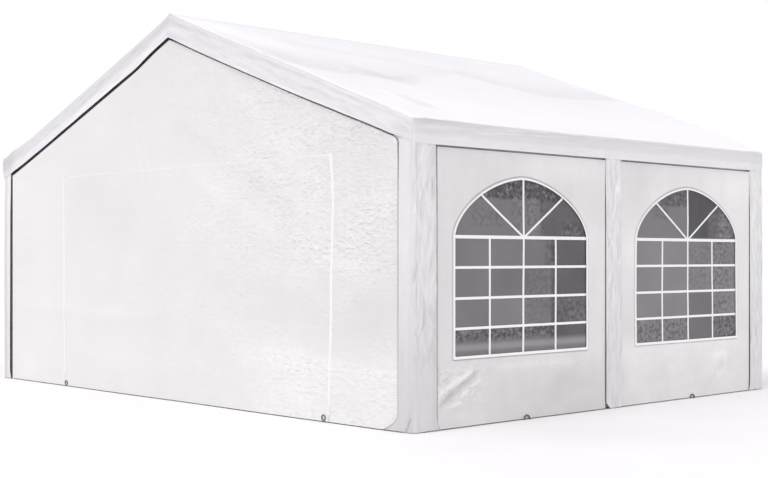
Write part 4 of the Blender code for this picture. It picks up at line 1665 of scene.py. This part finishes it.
spots = []
for x in eyeletLook["gable"]:
    ring = eyeletLook["gableRing"]
    place = gablePlace(np.array(x), np.array(sum(ring) + 0.008), ring[1] + 0.0002)
    spots.append((place, (1.0, 0.0), ring, 1.0))
for fromCorner in eyeletLook["side"]:
    ring = eyeletLook["sideRing"]
    place = sidePlace(np.array(fromCorner - halfY), np.array(0.0006), ring[1] + 0.0002)
    spots.append((place, (0.0, 1.0), ring, 0.5))
eyelets = makeEyelets("hemEyeletsRightFront", spots)
for obj in (eyelets, turnedCopy(eyelets)):
    dress(obj, "galvanised_steel")


# The frame keeps its CAD shapes and gets its finish
steelNames = ("post_right", "post_left", "rafter", "eave", "ridge")
for name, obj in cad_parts.items():
    cloth = zipTape if name.startswith("door_zip") else wallCloth
    for slot in obj.material_slots:
        slot.material = steel if name.startswith(steelNames) else cloth
print("steel finished")


# Floor, light and camera

stageLook = {
    "floorSize": 60.0,
    "floorColour": (0.88, 0.88, 0.88, 1),
    "sky": (0.985, 0.965, 1.0, 1),
    "skyStrength": 0.775,
    "zenith": 0.33,  # how much brighter the sky is overhead
    "sunStrength": 1.1,
    "sunSpread": 30,  # degrees, for soft shadows
    "sunFrom": (0.065, -0.53, 0.845),
    "sunColour": (1.0, 0.985, 0.96),
}
cameraLook = {
    "place": (8.163, -7.623, 1.068),
    "turn": 0.8206,
    "lens": 62.07,
    "shift": (0.0247, 0.0225),
}


def makeFloor():
    size = stageLook["floorSize"] / 2
    mesh = bpy.data.meshes.new("floor")
    corners = [(-size, -size, 0), (size, -size, 0), (size, size, 0), (-size, size, 0)]
    mesh.from_pydata(corners, [], [(0, 1, 2, 3)])
    material = plainMaterial("paleFloor", stageLook["floorColour"], 0.85, grain=60.0)
    linkObject("floor", mesh, material)


def makeLight():
    sun = bpy.data.lights.new("daylight", "SUN")
    sun.energy = stageLook["sunStrength"]
    sun.angle = math.radians(stageLook["sunSpread"])
    sun.color = stageLook["sunColour"]
    obj = bpy.data.objects.new("daylight", sun)
    obj.rotation_euler = Vector(stageLook["sunFrom"]).to_track_quat("Z", "Y").to_euler()
    bpy.context.scene.collection.objects.link(obj)
    world = bpy.data.worlds.new("studio")
    bpy.context.scene.world = world
    world.use_nodes = True
    tree = world.node_tree
    sky = tree.nodes["Background"]
    direction = tree.nodes.new("ShaderNodeTexCoord").outputs["Generated"]
    upward = maths(tree, "MAXIMUM", separate(tree, direction)[2], 0.0)
    base = stageLook["skyStrength"]
    strength = maths(tree, "MULTIPLY_ADD", upward, stageLook["zenith"] * base, base)
    feed(tree, sky, Color=stageLook["sky"], Strength=strength)
    backdrop = tree.nodes.new("ShaderNodeBackground")
    feed(tree, backdrop, Color=(1, 1, 1, 1))
    choose = tree.nodes.new("ShaderNodeMixShader")
    rays = tree.nodes.new("ShaderNodeLightPath")
    tree.links.new(rays.outputs["Is Camera Ray"], choose.inputs[0])
    tree.links.new(sky.outputs[0], choose.inputs[1])
    tree.links.new(backdrop.outputs[0], choose.inputs[2])
    tree.links.new(choose.outputs[0], tree.nodes["World Output"].inputs["Surface"])


def makeCamera():
    look = cameraLook
    camera = bpy.data.cameras.new("camera")
    camera.lens, camera.sensor_width = look["lens"], 36.0
    camera.shift_x, camera.shift_y = look["shift"]
    camera.clip_end = 200
    obj = bpy.data.objects.new("camera", camera)
    obj.location = look["place"]
    obj.rotation_euler = (math.pi / 2, 0, look["turn"])
    bpy.context.scene.collection.objects.link(obj)
    bpy.context.scene.camera = obj


makeFloor()
makeLight()
makeCamera()
bpy.context.scene.view_settings.view_transform = "Standard"
bpy.context.scene.view_settings.look = "None"
